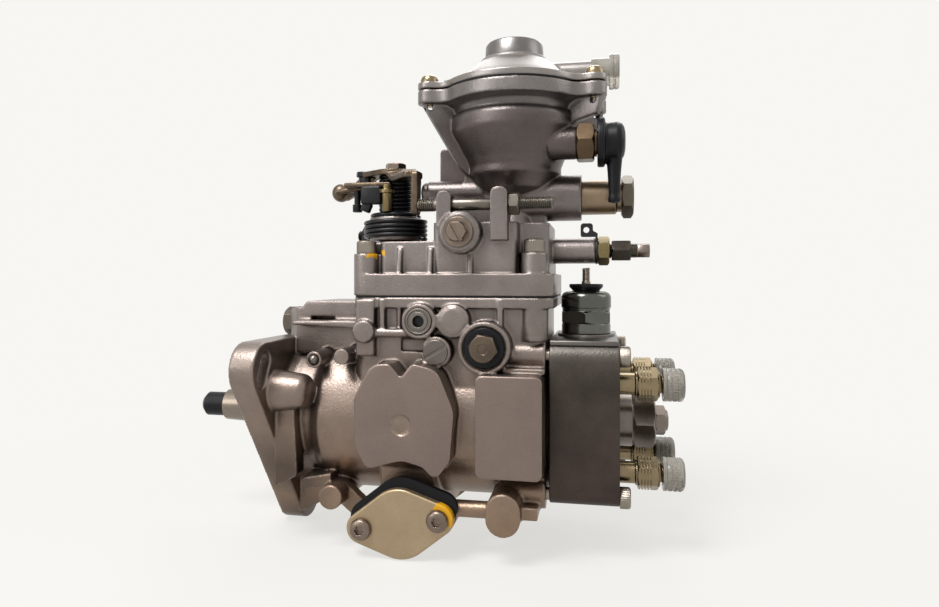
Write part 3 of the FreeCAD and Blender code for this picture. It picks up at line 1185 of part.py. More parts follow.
def control_lever():
    """Lever plate with the ball arm on the left and the bent-down stop tab on the right."""
    low = LEVER_PLATE_Z
    high = low + LEVER_PLATE_THICKNESS - 0.9
    outline = hull_outline([(CONTROL_X - 1, 4.0, 10.0), (CONTROL_X - 14, -1.0, 5.0), (CONTROL_X, -4.0, 10.0)])
    hub = plate(outline, "z", low, high)
    strap = plate(rounded_outline([(CONTROL_X - 2, 4, 0), (CONTROL_X - 4, -10, 3), (77.0, -35.0, 3), (84.0, -32.0, 3),
                                   (84.0, -26.0, 3), (CONTROL_X + 9, 0, 3)]), "z", low - LEVER_STEP, high)
    strap = strap.common(plate(rounded_outline([(8.0, low, 0), (-12.0, low, 3), (-20.0, low - LEVER_STEP, 3),
                                                (-40.0, low - LEVER_STEP, 0), (-40.0, high - LEVER_STEP, 0),
                                                (-18.5, high - LEVER_STEP, 3), (-10.5, high, 3), (8.0, high, 0)]),
                               "x", CONTROL_X - 10, 90.0))
    foot = STOP_ROD_Z - 4.5
    tab = plate(rounded_outline([(-35.5, foot, 2), (-29.0, foot, 2), (-27.0, high - LEVER_STEP, 0),
                                 (-35.5, high - LEVER_STEP, 2)]), "x", 80.6, 83.7)
    arm = plate(rounded_outline([(29.0, low - 10.2, 3), (34.0, low - 12.2, 3), (48.0, low - 4.2, 3), (52.0, low, 0),
                                 (52.0, high, 0), (46.0, high, 2), (38.0, low - 4.2, 3), (29.0, low - 5.2, 2.4)]),
                "y", -3.6, 1.4)
    ball = Part.makeSphere(5.0, V(31.0, -1.0, low - 7.7))
    lever = fuse(hub, strap, tab, arm, ball)
    return cut(lever, zrod(CONTROL_SHAFT_R + SEAT, low - 1, high + 1, CONTROL_X, 0))


def control_nut():
    low = LEVER_PLATE_Z + LEVER_PLATE_THICKNESS + 0.02
    return hexagon(10.0, "z", low, low + 3.6, (CONTROL_X, 0), 0)


def return_spring():
    """Torsion spring below the control lever: a wide coil on the cover boss and a narrow one above it."""
    wide = spring_along("z", CONTROL_BOSS_TOP + 0.1, SPRING_SEAT_TOP - 1.3, 16.2, 2.6, 2.75, (CONTROL_X, 0))
    narrow = spring_along("z", SPRING_SEAT_TOP + 0.2, LEVER_PLATE_Z - 0.1, 8.2, 2.2, 2.4, (CONTROL_X, 0))
    return [wide, narrow]


def spring_seat():
    """Stepped sleeve on the control shaft boss that carries the return springs."""
    end = LEVER_PLATE_Z - 1.7
    sleeve = turned([(CONTROL_BOSS_TOP, 0, 0), (CONTROL_BOSS_TOP, SPRING_SEAT_R, 0), (SPRING_SEAT_TOP, SPRING_SEAT_R, 0.5),
                     (SPRING_SEAT_TOP, SPRING_SLEEVE_R, 0), (end, SPRING_SLEEVE_R, 0.5), (end, 0, 0)],
                    "z", (CONTROL_X, 0, 0))
    return cut(sleeve, zrod(CONTROL_SHAFT_R + FREE, CONTROL_BOSS_TOP - 2, LEVER_PLATE_Z + 0.3, CONTROL_X, 0))


def stop_rod():
    rod = xrod(STOP_ROD_R, 84.0, 149.7, STOP_ROD_Y, STOP_ROD_Z)
    return rod


def stop_nuts():
    nuts = []
    for x in (128.6,):
        nut = hexagon(10.0, "x", x, x + 5.0, (STOP_ROD_Y, STOP_ROD_Z), 30)
        nuts.append(cut(nut, xrod(STOP_ROD_R + SEAT, x - 1, x + 6, STOP_ROD_Y, STOP_ROD_Z)))
    return nuts


def max_speed_screw():
    screw = xrod(3.0, 33.0, 51.0, MAX_SPEED_Y, MAX_SPEED_Z)
    return fuse(screw, hexagon(10.0, "x", 36.0, 41.5, (MAX_SPEED_Y, MAX_SPEED_Z), 30))


def cover_boss_screw():
    x = BOSS_SCREW_X
    z = BOSS_SCREW_Z
    washer = yrod(7.3, -43.5, -42.0, x, z)
    head = hexagon(10.0, "y", -48.0, -43.4, (x, z), 30)
    slot = box(x - 6.4, x + 6.4, -49.0, -46.8, z - 0.6, z + 0.6)
    slot.rotate(V(x, 0, z), V(0, 1, 0), 62)
    shank = yrod(BOSS_SCREW_R, -43.0, -34.0, x, z)
    return cut(fuse(washer, head, shank), slot)


def full_load_screw():
    shank = xrod(FULL_LOAD_R, 139.0, 187.0, 0, FULL_LOAD_Z)
    return fuse(shank, hexagon(10.0, "x", 177.2, 186.7, (0, FULL_LOAD_Z), 0), xrod(3.6, 186.0, 196.1, 0, FULL_LOAD_Z))


def adjuster_nuts():
    nuts = []
    for x, flats, width in ((170.2, 13.0, 5.9),):
        nut = hexagon(flats, "x", x, x + width, (0, FULL_LOAD_Z), 30)
        nuts.append(cut(nut, xrod(FULL_LOAD_R + SEAT, x - 1, x + width + 1, 0, FULL_LOAD_Z)))
    return nuts


def seal_bracket():
    """Sheet bracket on the full load boss, with an upright tab that has a hole for a seal wire."""
    z = FULL_LOAD_Z
    foot = cut(xrod(6.8, 169.0, 170.2, 0, z), xrod(FULL_LOAD_R + FREE, 168.0, 172.0, 0, z))
    neck = box(169.0, 170.2, -4.0, 2.0, z + 5.2, z + 8.8)
    tab = plate(rounded_outline([(161.6, z + 7.0, 1), (170.2, z + 7.0, 0), (170.2, z + 8.8, 1), (167.8, z + 10.2, 1),
                                 (167.8, z + 14.0, 1.5), (161.6, z + 14.0, 1.5)]), "y", -4.0, -2.8)
    return cut(fuse(foot, neck, tab), yrod(1.5, -5.0, 0.0, 164.5, z + 10.6))


def guide_bush():
    """Brass guide of the sensing pin, with its hexagonal end."""
    sleeve = turned([(162.0, 0, 0), (162.0, 8.8, 0.5), (179.6, 8.8, 0.8), (179.6, 8.0, 0), (183.0, 8.0, 0), (183.0, 0, 0)],
                    "x", (0, 0, GUIDE_Z))
    parts = [xrod(GUIDE_R, 149.2, 163.0, 0, GUIDE_Z), sleeve, hexagon(19.0, "x", 182.0, 188.0, (0, GUIDE_Z), 30)]
    return cut(fuse(*parts), xrod(SENSING_PIN_R + RUNNING, 148.0, 184.0, 0, GUIDE_Z))


def boost_cover():
    """Pressed upper half of the boost chamber, with four ears and the port boss."""
    low = BOOST_SEAM_Z + DIAPHRAGM_THICKNESS / 2
    top = low + BOOST_COVER_FLANGE
    dome = turned([(low, 0, 0), (low, BOOST_R - 1, 0), (top, BOOST_R - 1, 0), (top, 33.0, 1.0), (top + 4.0, 28.5, 3.0),
                   (BOOST_CAP_Z - 2, 18.5, 2.0), (BOOST_CAP_Z, 17.5, 0), (BOOST_CAP_Z, 0, 0)], "z", (BOOST_X, 0, 0))
    end = BOOST_X + BOOST_R + 5.0
    parts = [dome, plate(boost_outline(), "z", low, top), xrod(PORT_R, BOOST_X + 13.0, end, 0, PORT_Z)]
    cutters = [
        turned([(low - 1, 0, 0), (low - 1, 30.0, 0), (top - 0.5, 30.0, 2.0), (top + 2.0, 26.0, 2.0),
                (BOOST_CAP_Z - 4, 15.5, 1.0), (BOOST_CAP_Z - 4, 0, 0)], "z", (BOOST_X, 0, 0)),
        xrod(3.0, BOOST_X + 13.0, end + 1, 0, PORT_Z),
        zrod(5.0 + SEAT, BOOST_CAP_Z - 5, BOOST_CAP_Z + 1, BOOST_X, 0),
    ]
    for x, y, angle in boost_screw_places():
        cutters.append(zrod(BOOST_SCREW_SHANK_R + SEAT, low - 1, top + 1, x, y))
    return cut(fuse(*parts), *cutters)


def boost_cover_screws():
    top = BOOST_SEAM_Z + DIAPHRAGM_THICKNESS / 2 + BOOST_COVER_FLANGE
    length = top - BOOST_FLANGE_Z + 1.0
    return [towards(pan_screw(4.6, 4.0, BOOST_SCREW_SHANK_R, length), "+z", (x, y, top))
            for x, y, angle in boost_screw_places()]


def boost_cap():
    cap = turned([(BOOST_CAP_Z, 0, 0), (BOOST_CAP_Z, BOOST_CAP_R, 0), (BOOST_TOP_Z, BOOST_CAP_R - 0.4, 1.6),
                  (BOOST_TOP_Z, 0, 0)], "z", (BOOST_X, 0, 0))
    return fuse(cap, zrod(5.0, BOOST_CAP_Z - 3.5, BOOST_CAP_Z + 1, BOOST_X, 0))


def boost_port_cap():
    end = BOOST_X + BOOST_R + 5.0
    sleeve = cut(xrod(PORT_R + 1.0, end - 3.0, end + 7.0, 0, PORT_Z), xrod(PORT_R + SEAT, end - 4.0, end + 0.05, 0, PORT_Z))
    disc = turned([(end + 6.0, 0, 0), (end + 6.0, 9.0, 0.8), (end + 11.0, 8.6, 1.2), (end + 11.0, 0, 0)],
                  "x", (0, 0, PORT_Z))
    return fuse(sleeve, disc)


def boost_diaphragm():
    low = BOOST_SEAM_Z - DIAPHRAGM_THICKNESS / 2
    disc = zrod(BOOST_R - 0.4, low, low + DIAPHRAGM_THICKNESS, BOOST_X, 0)
    inner = zrod(BOOST_STEM_R + SEAT, low - 1, low + 2, BOOST_X, 0)
    return cut(disc, inner)


def boost_pin():
    """Diaphragm plates with their stem, whose taper moves the sensing pin."""
    half = DIAPHRAGM_THICKNESS / 2 + 0.02
    slope = 0.3
    low = GUIDE_Z - 12
    lower_r = 4.8 + slope * (GUIDE_Z - low)
    stem = turned([(low, 0, 0), (low, min(lower_r, BOOST_STEM_R), 0), (GUIDE_Z - 1, BOOST_STEM_R, 0),
                   (GUIDE_Z + 7, BOOST_STEM_R - slope * 8, 0), (GUIDE_Z + 10, BOOST_STEM_R, 0),
                   (BOOST_SEAM_Z + 4, BOOST_STEM_R, 0), (BOOST_SEAM_Z + 4, 0, 0)], "z", (BOOST_X, 0, 0))
    upper = zrod(20.0, BOOST_SEAM_Z + half, BOOST_SEAM_Z + half + 1.6, BOOST_X, 0)
    lower = zrod(24.0, BOOST_SEAM_Z - half - 1.6, BOOST_SEAM_Z - half, BOOST_X, 0)
    return fuse(stem, upper, lower)


def boost_spring():
    return spring_along("z", BOWL_BOTTOM_Z + 19.2, BOOST_SEAM_Z - 2.1, 12.5, 2.0, 6.5, (BOOST_X, 0))


def sensing_pin():
    """Pin that rests on the tapered part of the boost stem."""
    tip = BOOST_X + BOOST_STEM_R + 0.15
    return fuse(xrod(SENSING_PIN_R, tip + 2, 178.0, 0, GUIDE_Z),
                turned([(tip, 0, 0), (tip + 2.5, SENSING_PIN_R, 0), (tip + 3, SENSING_PIN_R, 0), (tip + 3, 0, 0)],
                       "x", (0, 0, GUIDE_Z)))


def vent_fitting():
    parts = [xrod(5.0, 155.0, 161.0, VENT_Y, VENT_Z), hexagon(17.0, "x", 160.0, 168.0, (VENT_Y, VENT_Z), 30),
             xrod(6.0, 167.5, 172.0, VENT_Y, VENT_Z)]
    return cut(fuse(*parts), xrod(1.5, 150.0, 173.0, VENT_Y, VENT_Z))


def vent_elbow():
    """Rubber elbow: a round body over the fitting and a tapered tail that hangs down."""
    z = VENT_Z
    body = turned([(170.0, 0, 0), (170.0, 12.0, 0.5), (171.8, 12.0, 0.5), (171.8, 10.5, 0), (181.0, 10.5, 3.0),
                   (183.5, 6.0, 1.5), (183.5, 0, 0)], "x", (0, VENT_Y, z))
    tail = turned([(z - 30, 0, 0), (z - 30, 2.6, 0.6), (z - 6, 4.6, 0), (z - 1, 5.0, 0), (z - 1, 0, 0)],
                  "z", (177.5, VENT_Y, 0))
    hollow = [xrod(6.0 + SEAT, 169.0, 175.0, VENT_Y, z), zrod(1.6, z - 31, z - 1, 177.5, VENT_Y)]
    return cut(fuse(body, tail), *hollow)


def write(name, solids):
    if not isinstance(solids, list):
        solids = [solids]
    shapes = []
    for shape in solids:
        shapes += shape.Solids
    for solid in shapes:
        if not solid.isValid() or not solid.isClosed():
            print("unsound solid in", name)
    whole = shapes[0] if len(shapes) == 1 else Part.makeCompound(shapes)
    whole.exportStep("parts/" + name + ".step")


def numbered(name, makers):
    return {name + "_" + str(i + 1): make for i, make in enumerate(makers)}


NODES = {
    "pump_housing": pump_housing(),
    "governor_cover": governor_cover(),
    "flat_seals": [cover_seal()] + timing_gaskets(),
    "socket_screws": cover_screws() + head_bolts(),
    "distributor_head": distributor_head(),
    "delivery_valve_holders": delivery_valve_holders(),
    "protective_caps": line_caps() + [boost_port_cap()],
    "centre_plug": [centre_plug(), vent_screw()],
    "valve_springs": valve_springs() + [armature_spring()],
    "shutoff_solenoid": shutoff_solenoid(),
    "solenoid_terminal": [terminal_insulator(), terminal_stud()],
    "solenoid_armature": solenoid_armature(),
    "drive_shaft": drive_shaft(),
    "shaft_end_cap": shaft_end_cap(),
    "shaft_seal": shaft_seal(),
    "shaft_bush": shaft_bush(),
    "feed_pump_liner": [feed_pump_ring(), feed_pump_plate()],
    "feed_pump_rotor": [feed_pump_rotor()] + feed_pump_vanes(),
    "drive_gear": drive_gear(),
    "flyweight_cage": [governor_gear(), flyweight_cage()],
    "governor_shaft": governor_shaft(),
    "governor_sleeve": governor_sleeve(),
    "governor_lever": governor_lever(),
    "governor_spring": governor_spring(),
    "lever_pivot_bolts": lever_pivot_bolts(),
    "roller_ring": roller_ring(),
    "rollers": [roller(45 + 90 * i) for i in range(ROLLER_COUNT)],
    "cam_plate": cam_plate(),
    "plunger": plunger(),
    "control_collar": control_collar(),
    "plunger_springs": [spring_bridge()] + plunger_springs(),
    "timing_piston": timing_piston(),
    "timing_spring": timing_spring(),
    "timing_covers": timing_covers(),
    "timing_cover_screws": timing_cover_screws(),
    "blanking_plugs": blanking_plugs() + [inlet_plug()],
    "control_shaft": [control_shaft(), control_nut()],
    "control_lever": control_lever(),
    "return_spring": return_spring(),
    "adjusting_screws": [stop_rod(), max_speed_screw(), full_load_screw(), cover_boss_screw()],
    "lock_nuts": stop_nuts() + adjuster_nuts(),
    "guide_bush": guide_bush(),
    "boost_cover": boost_cover(),
    "boost_cover_screws": boost_cover_screws(),
    "boost_cap": boost_cap(),
    "boost_diaphragm": boost_diaphragm(),
    "boost_pin": boost_pin(),
    "boost_spring": boost_spring(),
    "sensing_pin": sensing_pin(),
    "vent_fitting": vent_fitting(),
    "vent_elbow": vent_elbow(),
    "seal_bracket": seal_bracket(),
}
NODES.update(numbered("flyweight", [flyweight(90 * i) for i in range(4)]))
NODES.update(numbered("delivery_valve", [delivery_valve(y, z) for y, z in outlet_places()]))

os.makedirs("parts", exist_ok=True)
for node, solids in NODES.items():
    write(node, solids)
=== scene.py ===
import json
from math import cos, pi, radians, sin

import bpy
from mathutils import Matrix, Vector


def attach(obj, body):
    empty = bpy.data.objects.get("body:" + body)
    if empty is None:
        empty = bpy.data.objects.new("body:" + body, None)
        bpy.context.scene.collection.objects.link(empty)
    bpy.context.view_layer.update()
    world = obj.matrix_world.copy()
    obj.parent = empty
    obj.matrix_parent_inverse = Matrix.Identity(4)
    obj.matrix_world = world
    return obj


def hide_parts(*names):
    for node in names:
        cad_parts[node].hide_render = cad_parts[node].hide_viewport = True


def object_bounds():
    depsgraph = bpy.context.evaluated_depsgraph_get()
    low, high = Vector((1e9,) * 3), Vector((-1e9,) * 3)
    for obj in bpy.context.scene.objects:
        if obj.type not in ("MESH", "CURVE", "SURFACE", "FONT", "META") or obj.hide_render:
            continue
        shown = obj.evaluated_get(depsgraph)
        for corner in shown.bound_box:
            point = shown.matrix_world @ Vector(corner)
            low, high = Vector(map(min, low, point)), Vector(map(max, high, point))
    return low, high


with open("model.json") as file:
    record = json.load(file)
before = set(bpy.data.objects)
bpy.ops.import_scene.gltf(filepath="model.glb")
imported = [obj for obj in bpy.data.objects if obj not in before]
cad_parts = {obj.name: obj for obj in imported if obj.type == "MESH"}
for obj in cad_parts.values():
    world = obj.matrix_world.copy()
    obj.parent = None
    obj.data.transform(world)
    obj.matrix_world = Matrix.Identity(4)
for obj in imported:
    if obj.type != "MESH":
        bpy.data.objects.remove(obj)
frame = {"nodes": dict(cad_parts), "record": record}
CAD_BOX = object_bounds()
MM = 0.001

bl_info = {
    "name": "Diesel injection pump",
    "version": (1, 0, 0),
    "blender": (4, 5, 0),
    "location": "View3D > Sidebar > Pump",
    "description": "Builds the visible pieces and finishes of a rotary diesel injection pump",
    "category": "Object",
}


def colour_property(label, description, value):
    return bpy.props.FloatVectorProperty(name=label, description=description, subtype="COLOR", size=4,
                                         min=0.0, max=1.0, default=(*value, 1.0))


def length_property(label, description, value):
    return bpy.props.FloatProperty(name=label, description=description, subtype="DISTANCE", unit="LENGTH",
                                   default=value)


class PumpColours(bpy.types.PropertyGroup):
    """Base colours of the pump's finishes."""
    cast: colour_property("Cast aluminium", "Housing and governor cover", (0.225, 0.178, 0.155))
    pads: colour_property("Machined pads", "Flat machined faces of the housing", (0.205, 0.158, 0.137))
    machined: colour_property("Machined aluminium", "Boost cover and cap", (0.25, 0.228, 0.217))
    head: colour_property("Head steel", "Distributor head", (0.058, 0.043, 0.035))
    yellow_zinc: colour_property("Yellow zinc", "Outlet fittings and nuts", (0.25, 0.195, 0.118))
    grey_zinc: colour_property("Grey zinc", "Timing covers", (0.37, 0.28, 0.178))
    dark_steel: colour_property("Screw steel", "Socket screws", (0.27, 0.235, 0.20))
    solenoid: colour_property("Solenoid can", "Shut-off solenoid", (0.12, 0.124, 0.11))
    lever: colour_property("Lever", "Control lever plate", (0.115, 0.085, 0.06))
    rubber: colour_property("Rubber", "Elbow and shaft cap", (0.00576, 0.00612, 0.00792))
    plastic: colour_property("Translucent caps", "Protective caps", (0.41, 0.385, 0.34))
    brass: colour_property("Guide sleeve", "Guide bush", (0.235, 0.175, 0.12))
    spring: colour_property("Spring steel", "Springs", (0.00864, 0.00864, 0.0101))
    ground: colour_property("Ground steel", "Shaft and inner pieces", (0.24, 0.20, 0.165))
    paint: colour_property("Yellow paint", "Paint marks", (0.72, 0.36, 0.004))


class PumpSizes(bpy.types.PropertyGroup):
    """Place of the camera."""
    camera_height: length_property("Camera height", "Height of the camera over the shaft axis", 71 * MM)
    camera_distance: length_property("Camera distance", "Distance of the camera from the shaft plane",
                                     351.7 * MM)


def add_node(tree, kind, label="", place=(0, 0), inputs=None, **values):
    """A node with its attributes set and its inputs linked to sockets or set to values."""
    node = tree.nodes.new(kind)
    node.label = label
    node.location = place
    for key, value in values.items():
        setattr(node, key, value)
    for key, value in (inputs or {}).items():
        if isinstance(value, bpy.types.NodeSocket):
            tree.links.new(value, node.inputs[key])
        else:
            node.inputs[key].default_value = value
    return node


def object_place(tree):
    return add_node(tree, "ShaderNodeTexCoord").outputs["Object"]


def new_group(name, inputs, outputs):
    """A node group with its sockets; outputs gives each output's socket type."""
    group = bpy.data.node_groups.new(name, "ShaderNodeTree")
    sockets = group.interface
    for label, default in inputs.items():
        sockets.new_socket(label, in_out="INPUT", socket_type="NodeSocketFloat").default_value = default
    for label, kind in outputs.items():
        sockets.new_socket(label, in_out="OUTPUT", socket_type=kind)
    start = add_node(group, "NodeGroupInput", "in", (-900, 0))
    end = add_node(group, "NodeGroupOutput", "out", (900, 0))
    return group, start.outputs, end.inputs


def surface_group():
    """Mottle, grit and fine scratches on Object coordinates, each a value from 0 to 1."""
    group, given, out = new_group(
        "Metal surface", {"Mottle size": 60.0, "Grit size": 1400.0, "Scratch stretch": 1.0},
        dict.fromkeys(("Mottle", "Grit", "Scratch"), "NodeSocketFloat"))
    place = object_place(group)
    mottle = add_node(group, "ShaderNodeTexNoise", "mottle", (-300, 300), {
        "Vector": place, "Scale": given["Mottle size"], "Detail": 5.0, "Roughness": 0.62})
    grit = add_node(group, "ShaderNodeTexNoise", "grit", (-300, 0), {
        "Vector": place, "Scale": given["Grit size"], "Detail": 3.0})
    factors = add_node(group, "ShaderNodeCombineXYZ", "stretch by", (-750, -350), {
        "X": given["Scratch stretch"], "Y": 1.0, "Z": 1.0})
    stretched = add_node(group, "ShaderNodeVectorMath", "stretch", (-600, -300), {
        0: place, 1: factors.outputs[0]}, operation="MULTIPLY")
    scratch = add_node(group, "ShaderNodeTexNoise", "scratch", (-300, -300), {
        "Vector": stretched.outputs[0], "Scale": 900.0, "Detail": 2.0})
    for label, noise in (("Mottle", mottle), ("Grit", grit), ("Scratch", scratch)):
        group.links.new(noise.outputs[0], out[label])
    return group


def wear_and_highlight_group():
    """Mask of the edges made bright, partly rubbed by handling and partly painted highlight, where the
    rounded normal differs from the true one.
    """
    group, given, out = new_group("Edge wear and highlight", {"Radius": 0.0006},
                                  {"Edge": "NodeSocketFloat", "Round normal": "NodeSocketVector"})
    rounded = add_node(group, "ShaderNodeBevel", "rounded", (-500, 200), {
        "Radius": given["Radius"]}, samples=4)
    true = add_node(group, "ShaderNodeNewGeometry", "surface", (-500, -100))
    same_way = add_node(group, "ShaderNodeVectorMath", "same way", (-250, 100), {
        0: rounded.outputs[0], 1: true.outputs["Normal"]}, operation="DOT_PRODUCT")
    edge = add_node(group, "ShaderNodeMapRange", "edge", (0, 100), {
        "Value": same_way.outputs["Value"], "From Min": 0.995, "From Max": 0.8})
    breakup = add_node(group, "ShaderNodeTexNoise", "breakup", (-250, -300), {
        "Vector": object_place(group), "Scale": 260.0})
    patches = add_node(group, "ShaderNodeMapRange", "patches", (0, -300), {
        "Value": breakup.outputs[0], "From Min": 0.35, "From Max": 0.6})
    worn_and_highlit_edges = add_node(group, "ShaderNodeMath", "worn_and_highlit_edges", (300, 0), {
        0: edge.outputs[0], 1: patches.outputs[0]}, operation="MULTIPLY")
    group.links.new(worn_and_highlit_edges.outputs[0], out["Edge"])
    group.links.new(rounded.outputs[0], out["Round normal"])
    return group


GROUPS = {}


def group_node(tree, name, build, inputs):
    if name not in GROUPS:
        GROUPS[name] = build()
    return add_node(tree, "ShaderNodeGroup", inputs=inputs, node_tree=GROUPS[name]).outputs


def mix_colours(tree, factor, first, second, blend="MIX"):
    first, second = ((*value[:3], 1.0) if isinstance(value, tuple) else value for value in (first, second))
    return add_node(tree, "ShaderNodeMix", inputs={"Factor": factor, 6: first, 7: second},
                    data_type="RGBA", blend_type=blend).outputs[2]


def map_range(tree, value, low, high, to_low, to_high):
    return add_node(tree, "ShaderNodeMapRange", inputs={
        "Value": value, "From Min": low, "From Max": high, "To Min": to_low, "To Max": to_high}).outputs[0]


def scaled(colour, share):
    return tuple(min(1.0, channel * share) for channel in colour[:3])


def distance_to(tree, place, point):
    """Distance from a point given in mm."""
    return add_node(tree, "ShaderNodeVectorMath", inputs={0: place, 1: [value * MM for value in point]},
                    operation="DISTANCE").outputs["Value"]


def largest(tree, masks):
    total = masks[0]
    for mask in masks[1:]:
        total = add_node(tree, "ShaderNodeMath", inputs={0: total, 1: mask}, operation="MAXIMUM").outputs[0]
    return total


def spot_mask(tree, spots):
    """1 inside blotches of given centre and radius (mm) in Object coordinates, with a ragged edge."""
    place = object_place(tree)
    noise = add_node(tree, "ShaderNodeTexNoise", inputs={"Vector": place, "Scale": 320.0})
    ragged = map_range(tree, noise.outputs[0], 0.3, 0.7, -0.9 * MM, 0.9 * MM)
    masks = []
    for *centre, radius in spots:
        away = add_node(tree, "ShaderNodeMath", inputs={0: distance_to(tree, place, centre), 1: ragged},
                        operation="ADD")
        masks.append(map_range(tree, away.outputs[0], radius * MM, (radius - 0.35) * MM, 0.0, 1.0))
    return largest(tree, masks)


def painted_shade_mask(tree, patches):
    """Soft patches of painted shade, of given centre and radius (mm) in Object coordinates."""
    place = object_place(tree)
    return largest(tree, [
        map_range(tree, distance_to(tree, place, centre), radius * MM, radius * 0.4 * MM, 0.0, 0.75)
        for *centre, radius in patches])


def height_bands(tree, bands):
    """Colours that change with the height Z in mm, in Object coordinates."""
    split = add_node(tree, "ShaderNodeSeparateXYZ", inputs={0: object_place(tree)})
    low = bands[0][0]
    high = bands[-1][0]
    share = map_range(tree, split.outputs["Z"], low * MM, high * MM, 0.0, 1.0)
    ramp = add_node(tree, "ShaderNodeValToRGB", inputs={0: share})
    elements = ramp.color_ramp.elements
    while len(elements) < len(bands):
        elements.new(0.5)
    for element, (height, colour) in zip(elements, bands):
        element.position = (height - low) / (high - low)
        element.color = (*colour, 1.0)
    return ramp.outputs[0]


def corner_shade_mask(tree, reach):
    """Mask of narrow corners, darkened as painted shade."""
    shade = add_node(tree, "ShaderNodeAmbientOcclusion", inputs={"Distance": reach * MM},
                     samples=4, only_local=True)
    return map_range(tree, shade.outputs["AO"], 0.8, 0.3, 0.0, 0.8)


BUMP_HEIGHT = 0.3 * MM
WEAR_AND_HIGHLIGHT_BRIGHTER = 2.2          # how much lighter a bright edge is than its surface: rubbed wear and painted highlight


def new_finish(name, mottle_size, grit_size, scratch, edge, grit):
    """A material with the surface group and the edge wear and highlight group placed, and its bump linked.
    """
    material = bpy.data.materials.new(name)
    material.use_nodes = True
    tree = material.node_tree
    surface = group_node(tree, "Metal surface", surface_group, {
        "Mottle size": mottle_size, "Grit size": grit_size, "Scratch stretch": scratch})
    worn_and_highlit_edges = group_node(tree, "Edge wear and highlight", wear_and_highlight_group, {"Radius": edge})
    bump = add_node(tree, "ShaderNodeBump", inputs={
        "Strength": grit, "Distance": BUMP_HEIGHT, "Height": surface["Grit"],
        "Normal": worn_and_highlit_edges["Round normal"]})
    shader = tree.nodes["Principled BSDF"].inputs
    tree.links.new(bump.outputs[0], shader["Normal"])
    return material, tree, shader, surface, worn_and_highlit_edges["Edge"]


def mottled(tree, surface, darker, lighter):
    spread = map_range(tree, surface["Mottle"], 0.35, 0.65, 0.0, 1.0)
    return mix_colours(tree, spread, darker, lighter)


def metal(name, colour, rough, metallic=1.0, mottle=0.12, grit=0.15, grit_size=1400.0, mottle_size=60.0,
          scratch=1.0, wear_and_highlight=0.25, edge=0.5, corner_shade=0.0, reach=3.5, marks=None, bands=None, shade_patches=None):
    """A metal finish: mottled colour, uneven roughness, grit in the bump, edges rubbed bright with a painted
    edge highlight, and where asked, painted shade in corners and in patches.
    """
    material, tree, shader, surface, worn_and_highlit_edges = new_finish(
        name, mottle_size, grit_size, scratch, edge * MM, grit)
    if bands:
        patches = mottled(tree, surface, (1 - 2 * mottle,) * 3, (1.0,) * 3)
        body = mix_colours(tree, 1.0, height_bands(tree, bands), patches, "MULTIPLY")
    else:
        body = mottled(tree, surface, scaled(colour, 1 - mottle), scaled(colour, 1 + mottle))
    fine = map_range(tree, surface["Scratch"], 0.5, 0.75, 0.0, 0.5)
    body = mix_colours(tree, fine, body, (0.8,) * 3, "MULTIPLY")
    # painted shade: corners darkened by ambient occlusion
    if corner_shade:
        body = mix_colours(tree, corner_shade_mask(tree, reach), body, scaled(colour, corner_shade))
    # painted shade: soft dark patches on faces turned away from the light
    if shade_patches:
        body = mix_colours(tree, painted_shade_mask(tree, shade_patches), body, scaled(colour, 0.28))
    # edges made brighter: wear where rubbed, and painted highlight along the edges
    strength = map_range(tree, worn_and_highlit_edges, 0.0, 1.0, 0.0, wear_and_highlight)
    shown = mix_colours(tree, strength, body, scaled(colour, WEAR_AND_HIGHLIGHT_BRIGHTER))
    if marks:
        spots, paint = marks
        mask = spot_mask(tree, spots)
        shown = mix_colours(tree, mask, shown, paint)
        bare = add_node(tree, "ShaderNodeMath", inputs={0: mask, 1: -metallic, 2: metallic},
                        operation="MULTIPLY_ADD")
        tree.links.new(bare.outputs[0], shader["Metallic"])
    else:
        shader["Metallic"].default_value = metallic
    tree.links.new(shown, shader["Base Color"])
    uneven = map_range(tree, surface["Mottle"], 0.3, 0.7, rough * 0.85, rough * 1.15)
    tree.links.new(uneven, shader["Roughness"])
    return material


def plastic(name, colour, rough, grit, see_through):
    """Moulded rubber or plastic with a faint mottle and edges made pale by scuffs and painted highlight."""
    material, tree, shader, surface, worn_and_highlit_edges = new_finish(name, 90.0, 900.0, 1.0, 0.4 * MM, grit)
    body = mottled(tree, surface, scaled(colour, 0.8), scaled(colour, 1.2))
    # pale edges: scuffs and painted highlight
    strength = map_range(tree, worn_and_highlit_edges, 0.0, 1.0, 0.0, 0.3)
    tree.links.new(mix_colours(tree, strength, body, scaled(colour, WEAR_AND_HIGHLIGHT_BRIGHTER)), shader["Base Color"])
    tree.links.new(map_range(tree, surface["Grit"], 0.3, 0.7, rough * 0.8, rough * 1.2), shader["Roughness"])
    shader["Specular IOR Level"].default_value = 0.2
    if see_through:
        shader["Transmission Weight"].default_value = see_through
        shader["IOR"].default_value = 1.35
    return material


# centre x, y, z and radius in mm
PAINT_ON_COVER = ((63.6, -36.5, 84.4, 4.2), (60.6, -38.0, 83.4, 2.4))
PAINT_ON_TIMING = ((101.5, -49.0, -38.6, 5.6), (99.0, -49.0, -36.4, 4.4))
# painted shade on the flange's lower faces, which turn away from the light
FLANGE_PAINTED_SHADE = ((16.0, -38.0, -32.0, 30.0), (16.0, 38.0, -32.0, 30.0), (12.0, 0.0, -54.0, 26.0))

